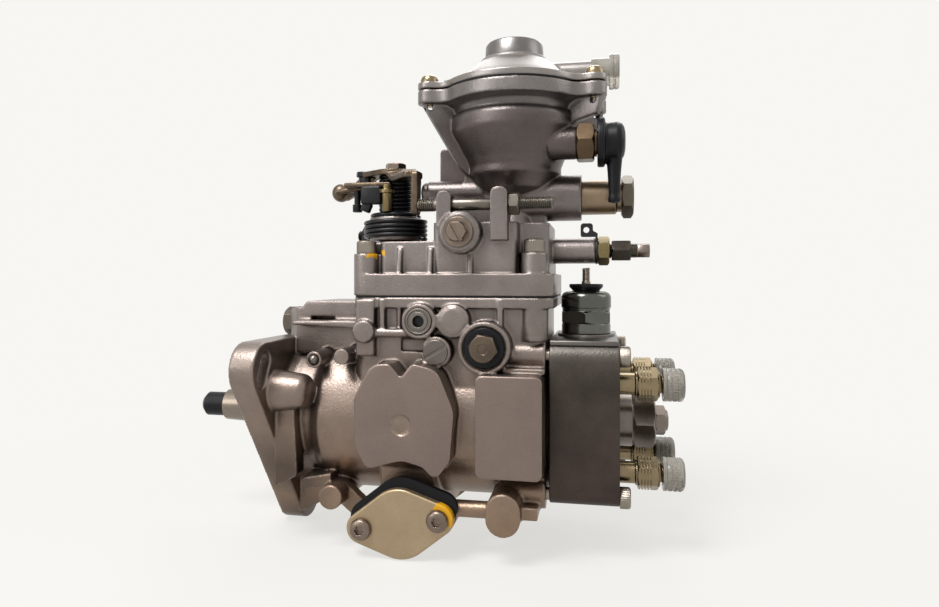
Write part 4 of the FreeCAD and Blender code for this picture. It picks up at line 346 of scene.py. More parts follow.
# height in mm and the colour there
# the dark band around 124 to 150 mm is painted shade on the down-facing boost bowl
CAST_BANDS = ((-60.0, (0.275, 0.184, 0.122)), (0.0, (0.256, 0.191, 0.153)), (50.0, (0.255, 0.216, 0.198)),
              (95.0, (0.245, 0.214, 0.204)), (112.0, (0.2, 0.175, 0.166)), (124.0, (0.118, 0.097, 0.091)),
              (150.0, (0.12, 0.1, 0.096)), (160.0, (0.22, 0.2, 0.193)))
HEAD_BANDS = ((-45.0, (0.056, 0.036, 0.03)), (20.0, (0.055, 0.042, 0.034)),
              (32.0, (0.085, 0.069, 0.058)), (41.0, (0.16, 0.143, 0.13)))

# colour, roughness, mottle, grit, edge wear with painted edge highlight
SMALL_METALS = {
    "head_top": ((0.145, 0.132, 0.122), 0.36, 0.15, 0.15, 0.25),
    "bronze": ((0.28, 0.2, 0.1), 0.4, 0.12, 0.15, 0.25),
    "boost_cap_steel": ((0.17, 0.16, 0.155), 0.34, 0.08, 0.06, 0.5),
    "plug_steel": ((0.17, 0.148, 0.132), 0.3, 0.2, 0.08, 0.5),
    "vent_steel": ((0.2, 0.165, 0.145), 0.28, 0.1, 0.05, 0.25),
    "rod_steel": ((0.15, 0.135, 0.115), 0.32, 0.15, 0.08, 0.5),
    "load_steel": ((0.055, 0.048, 0.04), 0.3, 0.2, 0.08, 0.5),
    "screw_tan": ((0.2, 0.155, 0.125), 0.34, 0.18, 0.08, 0.5),
    "brass_nut": ((0.2, 0.155, 0.075), 0.33, 0.15, 0.06, 0.5),
    "bush_hex": ((0.105, 0.09, 0.07), 0.34, 0.2, 0.08, 0.5),
    "vent_hex": ((0.10, 0.068, 0.042), 0.32, 0.2, 0.08, 0.4),
    "bolt_steel": ((0.125, 0.095, 0.072), 0.38, 0.25, 0.12, 0.4),
    "plug_grey": ((0.17, 0.15, 0.135), 0.36, 0.12, 0.1, 0.6),
    "plug_brown": ((0.13, 0.11, 0.09), 0.38, 0.2, 0.12, 0.4),
}


def build_materials(colours):
    paint = tuple(colours.paint)[:3]
    metals = {
        # the cast finish's corner darkening, flange patches and dark bowl band are painted shade
        "cast_aluminium": (colours.cast, 0.34, dict(
            metallic=0.85, grit=0.45, grit_size=1000.0, mottle_size=40.0, wear_and_highlight=0.85, edge=1.2, corner_shade=0.2,
            reach=8.0, bands=CAST_BANDS, shade_patches=FLANGE_PAINTED_SHADE, marks=(PAINT_ON_COVER, paint))),
        "machined_pads": (colours.pads, 0.33, dict(
            metallic=0.8, mottle=0.05, grit=0.08, mottle_size=30.0, wear_and_highlight=0.9, edge=1.0)),
        "aluminium_machined": (colours.machined, 0.34, dict(
            metallic=0.9, mottle=0.09, grit=0.12, scratch=0.1, wear_and_highlight=0.6, corner_shade=0.3)),
        "head_steel": (colours.head, 0.42, dict(
            metallic=0.6, mottle=0.18, grit=0.6, wear_and_highlight=0.4, grit_size=1000.0, corner_shade=0.3, bands=HEAD_BANDS)),
        "yellow_zinc": (colours.yellow_zinc, 0.27, dict(mottle=0.14, grit=0.05, wear_and_highlight=0.3)),
        "grey_zinc": (colours.grey_zinc, 0.42, dict(
            mottle=0.06, grit=0.12, metallic=0.85, marks=(PAINT_ON_TIMING, paint))),
        "dark_steel": (colours.dark_steel, 0.3, dict(mottle=0.15, grit=0.08, wear_and_highlight=0.5)),
        "solenoid_steel": (colours.solenoid, 0.22, dict(grit=0.05, wear_and_highlight=0.7)),
        "bronze_zinc": (colours.lever, 0.38, dict(mottle=0.35, grit=0.1, mottle_size=140.0, wear_and_highlight=0.5)),
        "brass_fitting": (colours.brass, 0.36, dict(mottle=0.16, grit=0.08, scratch=0.1)),
        "ground_steel": (colours.ground, 0.28, dict(mottle=0.08, grit=0.04, scratch=0.05)),
        "spring_steel": (colours.spring, 0.36, dict(metallic=0.5, mottle=0.25, grit=0.05)),
        "black_plate": (colours.spring, 0.4, dict(metallic=0.3, mottle=0.2, grit=0.1)),
    }
    made = {name: metal(name, colour, rough, **rest) for name, (colour, rough, rest) in metals.items()}
    for name, (colour, rough, mottle, grit, wear_and_highlight) in SMALL_METALS.items():
        made[name] = metal(name, colour, rough, mottle=mottle, grit=grit, wear_and_highlight=wear_and_highlight)
    for name, colour, rough, grit, see_through in (
        ("black_rubber", colours.rubber, 0.38, 0.08, 0.0),
        ("seal_rubber", colours.rubber, 0.5, 0.1, 0.0),
        ("black_plastic", colours.rubber, 0.32, 0.05, 0.0),
        ("clear_plastic", colours.plastic, 0.2, 0.05, 0.5),
    ):
        made[name] = plastic(name, colour, rough, grit, see_through)
    return made


MATERIALS = {}


def slot_of(node):
    for entry in frame["record"]["subparts"]:
        if entry["node"] == node:
            return entry["material_slot"]
    raise RuntimeError("no material slot for " + node)


class PUMP_OT_finishes(bpy.types.Operator):
    """Builds the finishes and gives each carried-over piece its own."""
    bl_idname = "pump.finishes"
    bl_label = "Finishes"

    def execute(self, context):
        MATERIALS.update(build_materials(context.scene.pump_colours))
        for name, obj in frame["nodes"].items():
            obj.data.materials.clear()
            obj.data.materials.append(MATERIALS[slot_of(name)])
            select_only(obj)
            bpy.ops.object.shade_smooth_by_angle(angle=radians(30))
        return {"FINISHED"}


def select_only(obj):
    bpy.ops.object.select_all(action="DESELECT")
    obj.hide_set(False)
    obj.select_set(True)
    bpy.context.view_layer.objects.active = obj


# turns a piece made along Z to the named direction
TURN_TO = {"+x": Matrix.Rotation(pi / 2, 4, "Y"), "-x": Matrix.Rotation(-pi / 2, 4, "Y"),
           "-y": Matrix.Rotation(pi / 2, 4, "X"), "+y": Matrix.Rotation(-pi / 2, 4, "X"),
           "+z": Matrix.Identity(4)}


def edit(obj):
    select_only(obj)
    bpy.ops.object.mode_set(mode="EDIT")


def leave():
    bpy.ops.object.mode_set(mode="OBJECT")


def apply_modifier(obj, kind, **values):
    select_only(obj)
    modifier = obj.modifiers.new(kind.lower(), kind)
    for key, value in values.items():
        setattr(modifier, key, value)
    bpy.ops.object.modifier_apply(modifier=modifier.name)


def just_added():
    """The object added last, with its place and size baked into its mesh."""
    obj = bpy.context.object
    select_only(obj)
    bpy.ops.object.transform_apply(location=True, rotation=True, scale=True)
    return obj


def pick(action="SELECT"):
    bpy.ops.mesh.select_all(action=action)


def leave_closed():
    """Turns every face outwards and leaves edit mode."""
    pick()
    bpy.ops.mesh.normals_make_consistent(inside=False)
    leave()


def turned(profile, sides=48, turn=0.0):
    """A turned or hexagonal solid along Z: a disc extruded and resized through (along, radius) in mm."""
    first, radius = profile[0]
    corner = 1 / cos(pi / sides) if sides == 6 else 1.0
    bpy.ops.mesh.primitive_circle_add(vertices=sides, radius=radius * corner * MM, fill_type="NGON",
                                      location=(0, 0, first * MM), rotation=(0, 0, turn))
    obj = just_added()
    edit(obj)
    for (low, before), (high, after) in zip(profile, profile[1:]):
        bpy.ops.mesh.extrude_region_move(TRANSFORM_OT_translate={"value": (0, 0, (high - low) * MM)})
        if abs(after - before) > 1e-6:
            ratio = after / before
            bpy.ops.transform.resize(value=(ratio, ratio, 1), center_override=(0, 0, high * MM))
    leave_closed()
    return obj


def hexagonal(flats, low, high, chamfer=0.9, turn=pi / 6):
    """A hexagonal prism whose corners are turned off to a cone at both ends."""
    nut = turned([(low, flats / 2), (high, flats / 2)], 6, turn)
    reach = flats / 2 / cos(pi / 6)
    cone = turned([(low - 0.01, flats / 2 * 0.97), (low + chamfer, reach * 1.002),
                   (high - chamfer, reach * 1.002), (high + 0.01, flats / 2 * 0.97)], 64)
    return shaped(nut, cone, "INTERSECT")


def shaped(obj, cutter, operation="DIFFERENCE"):
    apply_modifier(obj, "BOOLEAN", operation=operation, object=cutter, solver="EXACT")
    bpy.data.objects.remove(cutter)
    return obj


def block(size, centre, turn=(0, 0, 0)):
    bpy.ops.mesh.primitive_cube_add(size=1.0, location=[c * MM for c in centre], rotation=turn,
                                    scale=[s * MM for s in size])
    return just_added()


def bevelled(obj, width=0.3, segments=2, angle=30):
    apply_modifier(obj, "BEVEL", width=width * MM, segments=segments, limit_method="ANGLE",
                   angle_limit=radians(angle), use_clamp_overlap=True, harden_normals=False)
    return obj


def move_mesh(obj, axis="+z", at=(0, 0, 0)):
    obj.data.transform(Matrix.Translation(Vector(at) * MM) @ TURN_TO[axis])
    return obj


def painted(obj, slot):
    obj.data.materials.clear()
    obj.data.materials.append(MATERIALS[slot])
    return obj


def joined(objects, name):
    whole = objects[0]
    select_only(whole)
    for obj in objects[1:]:
        obj.select_set(True)
    bpy.ops.object.join()
    whole.name = name
    whole.data.name = name
    return whole


def laid_out(obj, name, places):
    """Copies of a piece, laid along an axis at each place and joined; the piece itself goes."""
    copies = []
    for axis, at in places:
        twin = obj.copy()
        twin.data = obj.data.copy()
        bpy.context.scene.collection.objects.link(twin)
        copies.append(move_mesh(twin, axis, at))
    bpy.data.objects.remove(obj)
    return joined(copies, name)


def body_of(node):
    for body, nodes in frame["record"]["behaviour"]["bodies"].items():
        if node in nodes:
            return body
    raise RuntimeError("no body holds " + node)


def stands_for(obj, node, material=None, smooth=32):
    """Paints the piece where a material is named, rounds its shading and lets it stand for its node."""
    if material:
        painted(obj, material)
    select_only(obj)
    bpy.ops.object.shade_smooth_by_angle(angle=radians(smooth))
    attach(obj, body_of(node))
    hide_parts(node)


def merged_copy(node, name):
    """A copy of a node's mesh with its doubles merged, left in edit mode with everything selected."""
    obj = bpy.data.objects.new(name, frame["nodes"][node].data.copy())
    bpy.context.scene.collection.objects.link(obj)
    edit(obj)
    pick()
    bpy.ops.mesh.remove_doubles(threshold=0.005 * MM)
    return obj


def cast_copy(node, name, material, voxel, passes=3, most=190000):
    """A casting's own shape with its edges softened: merged, remeshed fine and smoothed."""
    obj = merged_copy(node, name)
    leave()
    size = voxel
    apply_modifier(obj, "REMESH", mode="VOXEL", voxel_size=size * MM, adaptivity=0.0)
    apply_modifier(obj, "SMOOTH", factor=0.5, iterations=passes)
    triangles = sum(len(face.vertices) - 2 for face in obj.data.polygons)
    if triangles > most:
        apply_modifier(obj, "DECIMATE", ratio=most / triangles)
    return painted(obj, material)


def close_ends(obj):
    """Fills the open ends of a wound piece."""
    pick("DESELECT")
    bpy.ops.mesh.select_non_manifold()
    bpy.ops.mesh.edge_face_add()
    leave_closed()
    return obj


def thread(radius, low, high, pitch=1.0, depth=0.55, sides=32):
    """A screw thread along Z: a core and one ridge wound round it."""
    core = turned([(low, radius - depth), (high, radius - depth)], sides)
    turns = int((high - low) / pitch)
    bpy.ops.mesh.primitive_circle_add(vertices=3, radius=pitch * 0.55 * MM, fill_type="NOTHING",
                                      location=((radius - depth * 0.55) * MM, 0, (low + pitch * 0.1) * MM),
                                      rotation=(pi / 2, pi / 2, 0))
    ridge = just_added()
    apply_modifier(ridge, "SCREW", angle=2 * pi, iterations=turns, screw_offset=pitch * MM, steps=sides,
                   render_steps=sides, use_merge_vertices=True, merge_threshold=0.001 * MM)
    edit(ridge)
    pick()
    bpy.ops.mesh.remove_doubles(threshold=0.001 * MM)
    return joined([core, close_ends(ridge)], "thread")


def wire_coil(mean, wire, pitch, low, turns, sides=12, steps=40):
    """A round wire spring along Z, wound by the Screw modifier from a small circle."""
    bpy.ops.mesh.primitive_circle_add(vertices=sides, radius=wire / 2 * MM, fill_type="NOTHING",
                                      location=(mean * MM, 0, (low + wire / 2) * MM),
                                      rotation=(pi / 2, 0, 0))
    coil = just_added()
    apply_modifier(coil, "SCREW", angle=2 * pi * turns, screw_offset=pitch * turns * MM,
                   steps=int(steps * turns), render_steps=int(steps * turns), iterations=1)
    edit(coil)
    return close_ends(coil)


KNURL_SIDES = 72


def knurled(obj, low, high, radius, depth=0.25):
    """Presses every other upright edge of a turned head inwards."""
    edit(obj)
    pick("DESELECT")
    leave()
    for vertex in obj.data.vertices:
        place = vertex.co / MM
        if low - 0.01 <= place.z <= high + 0.01 and abs(place.xy.length - radius) < 0.05:
            share = (place.to_2d().angle_signed(Vector((1, 0)), 0.0) + pi) / (2 * pi)
            vertex.select = round(share * KNURL_SIDES) % 2 == 0
    edit(obj)
    ratio = (radius - depth) / radius
    bpy.ops.transform.resize(value=(ratio, ratio, 1), center_override=(0, 0, 0))
    leave()
    return obj


def socket_head(radius, height, reach, shank, hexagon_flats):
    """Knurled cylinder head screw with its seat at 0, its head up and its shank down."""
    head = turned([(0, radius - 0.3), (0.3, radius), (height - 1.2, radius), (height - 0.6, radius - 0.05),
                   (height, radius - 0.7)], KNURL_SIDES)
    knurled(head, 0.3, height - 1.2, radius)
    socket = turned([(height - 3.0, hexagon_flats / 2), (height + 1, hexagon_flats / 2)], 6, 0.3)
    shaped(head, socket)
    stem = turned([(-reach, shank - 0.5), (-reach + 0.6, shank), (0.2, shank)], 24)
    return joined([head, stem], "socket screw")


def star_recess(radius, low, high):
    """Six-lobed recess cutter."""
    star = turned([(low, radius), (high, radius)], 24)
    for vertex in star.data.vertices:
        angle = vertex.co.xy.angle_signed(Vector((1, 0)), 0.0)
        share = 0.86 + 0.14 * cos(6 * angle)
        vertex.co.x *= share
        vertex.co.y *= share
    return star


def pan_head(radius, height, shank, reach):
    """Low domed screw with a six-lobed recess, seat at 0."""
    head = turned([(0, radius), (height * 0.45, radius), (height * 0.8, radius * 0.86),
                   (height, radius * 0.55)], 48)
    shaped(head, star_recess(radius * 0.46, height - 1.8, height + 1))
    stem = turned([(-reach, shank - 0.4), (-reach + 0.5, shank), (0.2, shank)], 24)
    return joined([bevelled(head, 0.15, 1), stem], "pan screw")


def machined_faces(node, front, places, proud=0.12, root=1.5):
    """Plates over a casting's flat machined faces at y = front: its own faces, extruded both ways."""
    obj = merged_copy(node, "machined faces")
    bpy.ops.mesh.select_mode(type="FACE")
    pick("DESELECT")
    leave()
    for face in obj.data.polygons:
        x, y, z = face.center / MM
        for (x0, x1), (z0, z1) in places:
            if face.normal.y < -0.999 and abs(y - front) < 0.02 and x0 < x < x1 and z0 < z < z1:
                face.select = True
    edit(obj)
    pick("INVERT")
    bpy.ops.mesh.delete(type="FACE")
    pick()
    bpy.ops.mesh.dissolve_limited(angle_limit=radians(1))
    pick()
    bpy.ops.transform.translate(value=(0, root * MM, 0))
    bpy.ops.mesh.extrude_region_move(TRANSFORM_OT_translate={"value": (0, -(root + proud) * MM, 0)})
    bpy.ops.mesh.select_mode(type="VERT")
    leave_closed()
    return bevelled(obj, 0.25, 2)


# places of the axes that pieces are built on, in mm
BOOST = (127.0, 0, 0)
SOLENOID = (164.3, 0, 0)
CONTROL_SHAFT = (62.0, 0, 0)
GUIDE = (0, 0, 113.5)
LOAD_SCREW = (0, 0, 86.0)
STOP_ROD = (0, -34.0, 107.5)
VENT_Y, VENT_Z = -14.5, 139.0
PORT_Z = 178.0
OUTLET_OFFSET = 21.2
TIMING_X, TIMING_Z, TIMING_FACE = 78.4, -44.0, 48.9
TIMING_TILT, TIMING_REACH = radians(9.6), 18.95


class PUMP_OT_castings(bpy.types.Operator):
    """Gives the housing and the governor cover the softened edges of a casting."""
    bl_idname = "pump.castings"
    bl_label = "Housing and governor cover"

    def execute(self, context):
        housing = cast_copy("pump_housing", "housing_casting", "cast_aluminium", 0.6, most=165000)
        pads = machined_faces("pump_housing", -50.0, (((114, 147), (-22, 29)), ((55, 112), (-45, 45))))
        painted(pads, "machined_pads")
        housing = joined([housing, pads], "housing_casting")
        stands_for(housing, "pump_housing", smooth=60)
        cover = cast_copy("governor_cover", "cover_casting", "cast_aluminium", 0.5)
        stands_for(cover, "governor_cover", smooth=60)
        return {"FINISHED"}


class PUMP_OT_boost(bpy.types.Operator):
    """Makes the boost chamber's upper half, its round cap and its screws."""
    bl_idname = "pump.boost"
    bl_label = "Boost chamber cover"

    def execute(self, context):
        dome = cast_copy("boost_cover", "boost_dome", "aluminium_machined", 0.45)
        stands_for(dome, "boost_cover", smooth=60)
        cap = turned([(186.0, 15.0), (186.4, 15.4), (193.2, 15.0), (194.4, 14.2), (195.0, 12.6),
                      (195.0, 11.4), (194.7, 11.0), (194.7, 4.0)], 96)
        stem = turned([(182.5, 5.0), (186.2, 5.0)], 32)
        cap = move_mesh(joined([cap, stem], "boost_cap_turned"), "+z", BOOST)
        stands_for(cap, "boost_cap", "boost_cap_steel")
        seat, end = 171.8, 160.0
        screw = pan_head(4.6, 4.0, 2.5, seat - end)
        corners = [("+z", (x, y, seat)) for x in (85.28, 168.72) for y in (16.86, -16.86)]
        stands_for(laid_out(screw, "boost_screws", corners), "boost_cover_screws", "yellow_zinc")
        return {"FINISHED"}


class PUMP_OT_head(bpy.types.Operator):
    """Softens the distributor head's edges and adds its bolts beside the cover's."""
    bl_idname = "pump.head"
    bl_label = "Distributor head and socket screws"

    def execute(self, context):
        head = cast_copy("distributor_head", "head_block", "head_steel", 0.5, most=150000)
        slab = bevelled(block((32.2, 67.0, 2.4), (163.9, 0, 41.2)), 0.5, 2)
        head = joined([head, painted(slab, "head_top")], "head_block")
        stands_for(head, "distributor_head", smooth=60)
        cover_screw = socket_head(5.0, 6.5, 38.0, 3.0, 5.0)
        head_screw = socket_head(5.0, 5.0, 49.3, 3.0, 5.0)
        on_cover = [("+z", (x, y, 84.0)) for x in (56.5, 140.5) for y in (-31.5, 31.5)]
        on_head = [("+x", (180.3, y, z)) for y in (-30.0, 30.0) for z in (35.0, -31.0)]
        screws = joined([laid_out(cover_screw, "on cover", on_cover),
                         laid_out(head_screw, "on head", on_head)], "knurled_screws")
        stands_for(screws, "socket_screws", "dark_steel")
        return {"FINISHED"}


class PUMP_OT_outlets(bpy.types.Operator):
    """Turns the four outlet fittings with their caps, and the centre plug with its vent screw."""
    bl_idname = "pump.outlets"
    bl_label = "Outlet fittings and caps"

    def execute(self, context):
        stem = turned([(168.2, 4.9), (168.4, 5.2), (180.0, 5.2), (181.0, 5.2), (187.5, 5.2), (188.0, 5.9),
                       (188.8, 5.9)], 40)
        nut = hexagonal(14.0, 188.7, 198.4, 0.8)
        for x in (190.2, 191.6, 193.0, 194.4):
            groove = turned([(x, 9.0), (x + 0.45, 9.0)], 40)
            shaped(groove, turned([(x - 0.5, 7.0), (x + 1.0, 7.0)], 40))
            shaped(nut, groove)
        neck = turned([(198.2, 6.2), (199.0, 6.2), (199.0, 4.4)], 40)
        ridge = thread(4.5, 199.0, 206.0, 1.5, 0.5)
        fitting = joined([stem, nut, neck, ridge], "fitting")
        places = [("+x", (0, y, z)) for y in (-OUTLET_OFFSET, OUTLET_OFFSET)
                  for z in (OUTLET_OFFSET, -OUTLET_OFFSET)]
        stands_for(laid_out(fitting, "outlet_fittings", places), "delivery_valve_holders", "yellow_zinc")

        cap = turned([(200.5, 5.6), (200.5, 7.6), (200.8, 7.9), (202.0, 7.9), (202.2, 7.6), (202.6, 7.6),
                      (202.8, 7.85), (204.4, 7.85), (204.6, 7.55), (205.0, 7.55), (205.2, 7.85),
                      (206.8, 7.85), (207.0, 7.55), (207.3, 7.55), (207.5, 7.85), (208.6, 7.85),
                      (209.6, 7.3), (210.3, 6.2), (210.3, 3.0), (209.9, 2.6)], KNURL_SIDES)
        knurled(cap, 202.8, 208.6, 7.85, 0.28)
        shaped(cap, turned([(199.5, 5.4), (208.3, 5.0)], 48))
        caps = laid_out(cap, "caps", places)
        port = turned([(167.0, 6.0), (167.0, 7.0), (176.0, 7.0), (176.0, 8.6), (176.4, 9.0), (178.0, 9.0),
                       (178.2, 8.7), (178.8, 8.7), (179.0, 9.0), (180.4, 8.8), (181.0, 8.2), (181.0, 6.0),
                       (180.3, 5.4)], 64)
        caps = joined([caps, move_mesh(port, "+x", (0, 0, PORT_Z))], "clear_caps")
        stands_for(caps, "protective_caps", "clear_plastic")

        shoulder = turned([(180.4, 13.0), (180.8, 13.5), (187.0, 13.5), (187.6, 12.8)], 64)
        plug = hexagonal(25.0, 187.4, 198.3, 1.4, 0.0)
        shank = turned([(176.0, 10.0), (180.6, 10.0)], 40)
        vent = joined([hexagonal(13.0, 198.3, 203.6, 0.8),
                       turned([(203.5, 5.4), (204.6, 5.0), (205.1, 3.6)], 40)], "vent")
        plug = painted(joined([shoulder, plug, shank], "plug"), "plug_steel")
        both = move_mesh(joined([plug, painted(vent, "vent_steel")], "centre_plug_turned"), "+x")
        stands_for(both, "centre_plug")
        return {"FINISHED"}


class PUMP_OT_solenoid(bpy.types.Operator):
    """Makes the shut-off solenoid with its crimped can, hexagon and terminal."""
    bl_idname = "pump.solenoid"
    bl_label = "Shut-off solenoid"

    def execute(self, context):
        base = turned([(43.6, 11.9), (44.0, 12.4), (48.2, 12.4), (48.8, 12.1)], 72)
        nut = hexagonal(24.0, 48.6, 55.6, 1.4, 0.0)
        can = turned([(55.4, 12.0), (55.9, 12.2), (56.8, 12.2), (57.0, 12.7), (62.2, 12.7), (63.6, 12.2),
                      (64.6, 11.2), (65.2, 9.6), (65.2, 4.0)], 72)
        thread_part = turned([(36.0, 5.6), (36.4, 5.9), (44.0, 5.9)], 32)
        whole = move_mesh(joined([base, nut, can, thread_part], "solenoid_can"), "+z", SOLENOID)
        stands_for(whole, "shutoff_solenoid", "solenoid_steel")
        disc = turned([(65.3, 6.8), (66.0, 7.2), (67.4, 8.6), (68.6, 8.6), (69.0, 8.2), (69.0, 6.6),
                       (68.3, 6.0), (68.3, 2.6)], 56)
        stud = joined([turned([(67.8, 2.3), (70.2, 2.3), (70.2, 1.9)], 24),
                       thread(2.0, 70.0, 77.0, 0.7, 0.35, 24)], "stud")
        terminal = joined([painted(disc, "black_plastic"), painted(stud, "dark_steel")], "terminal_stud")
        stands_for(move_mesh(terminal, "+z", SOLENOID), "solenoid_terminal")
        return {"FINISHED"}


class PUMP_OT_adjusters(bpy.types.Operator):
    """Cuts the threads of the stop rod, the speed screw and the full load screw, and makes their nuts."""
    bl_idname = "pump.adjusters"
    bl_label = "Adjusting screws and nuts"

    def execute(self, context):
        plain = turned([(92.0, 2.6), (92.6, 2.9), (121.4, 2.9), (122.0, 2.6)], 32)
        rod = joined([thread(3.0, 84.0, 92.4), plain, thread(3.0, 121.8, 149.4)], "rod")
        tip = turned([(149.0, 2.5), (149.7, 2.0)], 24)
        rod = painted(move_mesh(joined([rod, tip], "rod"), "+x", STOP_ROD), "rod_steel")
        speed = joined([thread(3.0, 33.0, 36.4), thread(3.0, 41.2, 51.0),
                        hexagonal(10.0, 36.0, 41.5)], "speed")
        speed = painted(move_mesh(speed, "+x", (0, 22.4, 96.5)), "black_plate")
        tip = bevelled(turned([(189.8, 3.3), (196.1, 3.3)], 6, 0.2), 0.4)
        shaped(tip, block((9.0, 1.2, 1.6), (0, 0, 196.1)))
        load = joined([thread(3.9, 139.5, 177.4, 1.0, 0.5), hexagonal(10.0, 177.2, 186.7, 0.9, 0.0),
                       turned([(186.5, 3.6), (189.9, 3.6)], 32)], "load")
        load = joined([painted(load, "load_steel"), painted(tip, "vent_steel")], "load")
        load = move_mesh(load, "+x", LOAD_SCREW)
        washer = turned([(42.0, 7.0), (42.3, 7.3), (43.2, 7.3), (43.5, 7.0)], 56)
        crown = hexagonal(8.8, 43.4, 47.8, 1.4)
        shaped(crown, block((12.8, 1.9, 2.6), (0, 0, 47.8), (0, 0, radians(-62))))
        shank = turned([(34.0, 4.0), (42.4, 4.0)], 24)
        boss = move_mesh(joined([washer, crown, shank], "boss"), "-y", (105.4, 0, 93.7))
        painted(boss, "screw_tan")
        whole = joined([rod, speed, load, boss], "threaded_screws")
        stands_for(whole, "adjusting_screws")

        nut = hexagonal(10.0, 128.6, 133.6, 0.7, 0.3)
        shaped(nut, turned([(127.6, 3.02), (134.6, 3.02)], 32))
        painted(move_mesh(nut, "+x", STOP_ROD), "rod_steel")
        lock = hexagonal(13.0, 170.2, 176.1, 0.9)
        shaped(lock, turned([(169.2, 4.02), (177.1, 4.02)], 32))
        painted(move_mesh(lock, "+x", LOAD_SCREW), "brass_nut")
        stands_for(joined([nut, lock], "chamfered_nuts"), "lock_nuts")
        return {"FINISHED"}


class PUMP_OT_guide(bpy.types.Operator):
    """Turns the guide bush and the vent fitting and moulds the rubber elbow."""
    bl_idname = "pump.guide"
    bl_label = "Guide bush, vent fitting and elbow"

    def execute(self, context):
        bush = turned([(149.2, 7.2), (149.5, 7.5), (162.0, 7.5), (162.0, 8.6), (162.2, 8.8), (179.0, 8.8),
                       (179.5, 8.3), (180.0, 7.6), (182.2, 7.6)], 72)
        nut = hexagonal(19.0, 182.0, 188.0, 1.2)
        shaped(nut, turned([(186.9, 5.6), (189.0, 5.6)], 40))
        whole = joined([painted(bush, "brass_fitting"), painted(nut, "bush_hex")], "guide_turned")
        stands_for(move_mesh(whole, "+x", GUIDE), "guide_bush")
        vent = (0, VENT_Y, VENT_Z)
        shank = turned([(155.0, 5.0), (160.4, 5.0)], 32)
        fitting = hexagonal(17.6, 160.0, 168.6, 1.1, 0.0)
        collar = turned([(168.4, 7.0), (169.8, 7.0), (169.8, 5.9), (172.0, 5.9)], 48)
        whole = move_mesh(joined([shank, fitting, collar], "vent_hexagon"), "+x", vent)
        stands_for(whole, "vent_fitting", "vent_hex")
        body = turned([(170.0, 11.6), (170.4, 12.2), (173.2, 12.2), (173.7, 11.4), (174.0, 9.4),
                       (175.0, 9.3), (179.6, 9.7), (181.6, 9.0), (182.9, 7.2), (183.5, 4.6),
                       (183.5, 1.0)], 64)
        move_mesh(body, "+x", vent)
        tail = turned([(109.0, 2.4), (109.5, 3.0), (111.0, 3.1), (113.0, 2.7), (124.0, 3.3), (133.0, 4.1),
                       (137.6, 4.8)], 40)
        shaped(tail, turned([(108.0, 1.5), (120.0, 1.5)], 20))
        move_mesh(tail, "+z", (178.2, VENT_Y, 0))
        elbow = joined([body, tail], "rubber_elbow")
        apply_modifier(elbow, "REMESH", mode="VOXEL", voxel_size=0.35 * MM)
        apply_modifier(elbow, "SMOOTH", factor=0.5, iterations=5)
        stands_for(elbow, "vent_elbow", "black_rubber", smooth=60)
        return {"FINISHED"}


class PUMP_OT_lever(bpy.types.Operator):
    """Makes the control lever, its shaft end and the black return springs."""
    bl_idname = "pump.lever"
    bl_label = "Control lever and return springs"

    def execute(self, context):
        plates = cast_copy("control_lever", "lever_plates", "bronze_zinc", 0.4)
        second = bevelled(block((26.0, 12.0, 2.6), (50.0, -7.0, 121.6)), 0.8, 3)
        tongue = block((16.0, 9.0, 3.0), (38.0, -4.0, 119.6), (0, radians(-8), 0))
        bevelled(tongue, 1.2, 3)
        for plate in (second, tongue):
            painted(plate, "bronze_zinc")
        spacer = turned([(114.2, 3.0), (114.4, 3.4), (125.6, 3.4), (126.9, 3.4)], 32)
        move_mesh(spacer, "+z", (46.0, -2.0, 0))
        bolt = joined([hexagonal(6.0, 127.2, 130.0, 0.5), turned([(118.0, 2.0), (127.4, 2.0)], 24)], "bolt")
        move_mesh(bolt, "+z", (43.6, -2.0, 0))
        hook = turned([(107.6, 2.2), (108.0, 2.6), (111.6, 2.6), (111.8, 1.7), (119.0, 1.7)], 24)
        move_mesh(hook, "+z", (42.6, -7.0, 0))
        pin = turned([(106.8, 2.0), (107.4, 2.6), (116.6, 2.9), (116.8, 3.9), (118.6, 3.9), (118.8, 2.4),
                      (121.0, 2.4)], 40)
        pin = painted(move_mesh(pin, "+z", (61.0, -12.5, 0)), "brass_nut")
        clamp = bevelled(block((11.0, 5.0, 9.6), (52.6, -12.6, 115.8)), 1.0, 3)
        lug = bevelled(block((5.0, 4.0, 5.0), (49.6, -12.0, 109.6), (0, radians(24), 0)), 0.8, 3)
        for steel in (spacer, bolt, hook, clamp, lug):
            painted(steel, "spring_steel")
        lever = joined([plates, second, tongue, spacer, bolt, hook, pin, clamp, lug], "lever_and_bolts")
        stands_for(lever, "control_lever", smooth=45)
        nut = hexagonal(10.0, 130.62, 134.2, 0.7)
        shaft = turned([(79.0, 4.8), (79.2, 5.0), (129.8, 5.0), (130.4, 4.6)], 40)
        foot = turned([(78.6, 7.0), (82.0, 7.0)], 40)
        pin = move_mesh(turned([(71.5, 1.8), (71.8, 2.0), (79.0, 2.0)], 24), "+z", (5.0, 0, 0))
        whole = move_mesh(joined([nut, shaft, foot, pin], "control_shaft_turned"), "+z", CONTROL_SHAFT)
        stands_for(whole, "control_shaft", "screw_tan")
        wide = wire_coil(16.2, 2.2, 2.35, 92.1, 4.2)
        narrow = wire_coil(8.2, 2.0, 2.15, 104.9, 9.6)
        middle = wire_coil(12.6, 2.2, 0.9, 104.1, 0.95)
        springs = move_mesh(joined([wide, middle, narrow], "black_springs"), "+z", CONTROL_SHAFT)
        stands_for(springs, "return_spring", "spring_steel", smooth=60)
        return {"FINISHED"}


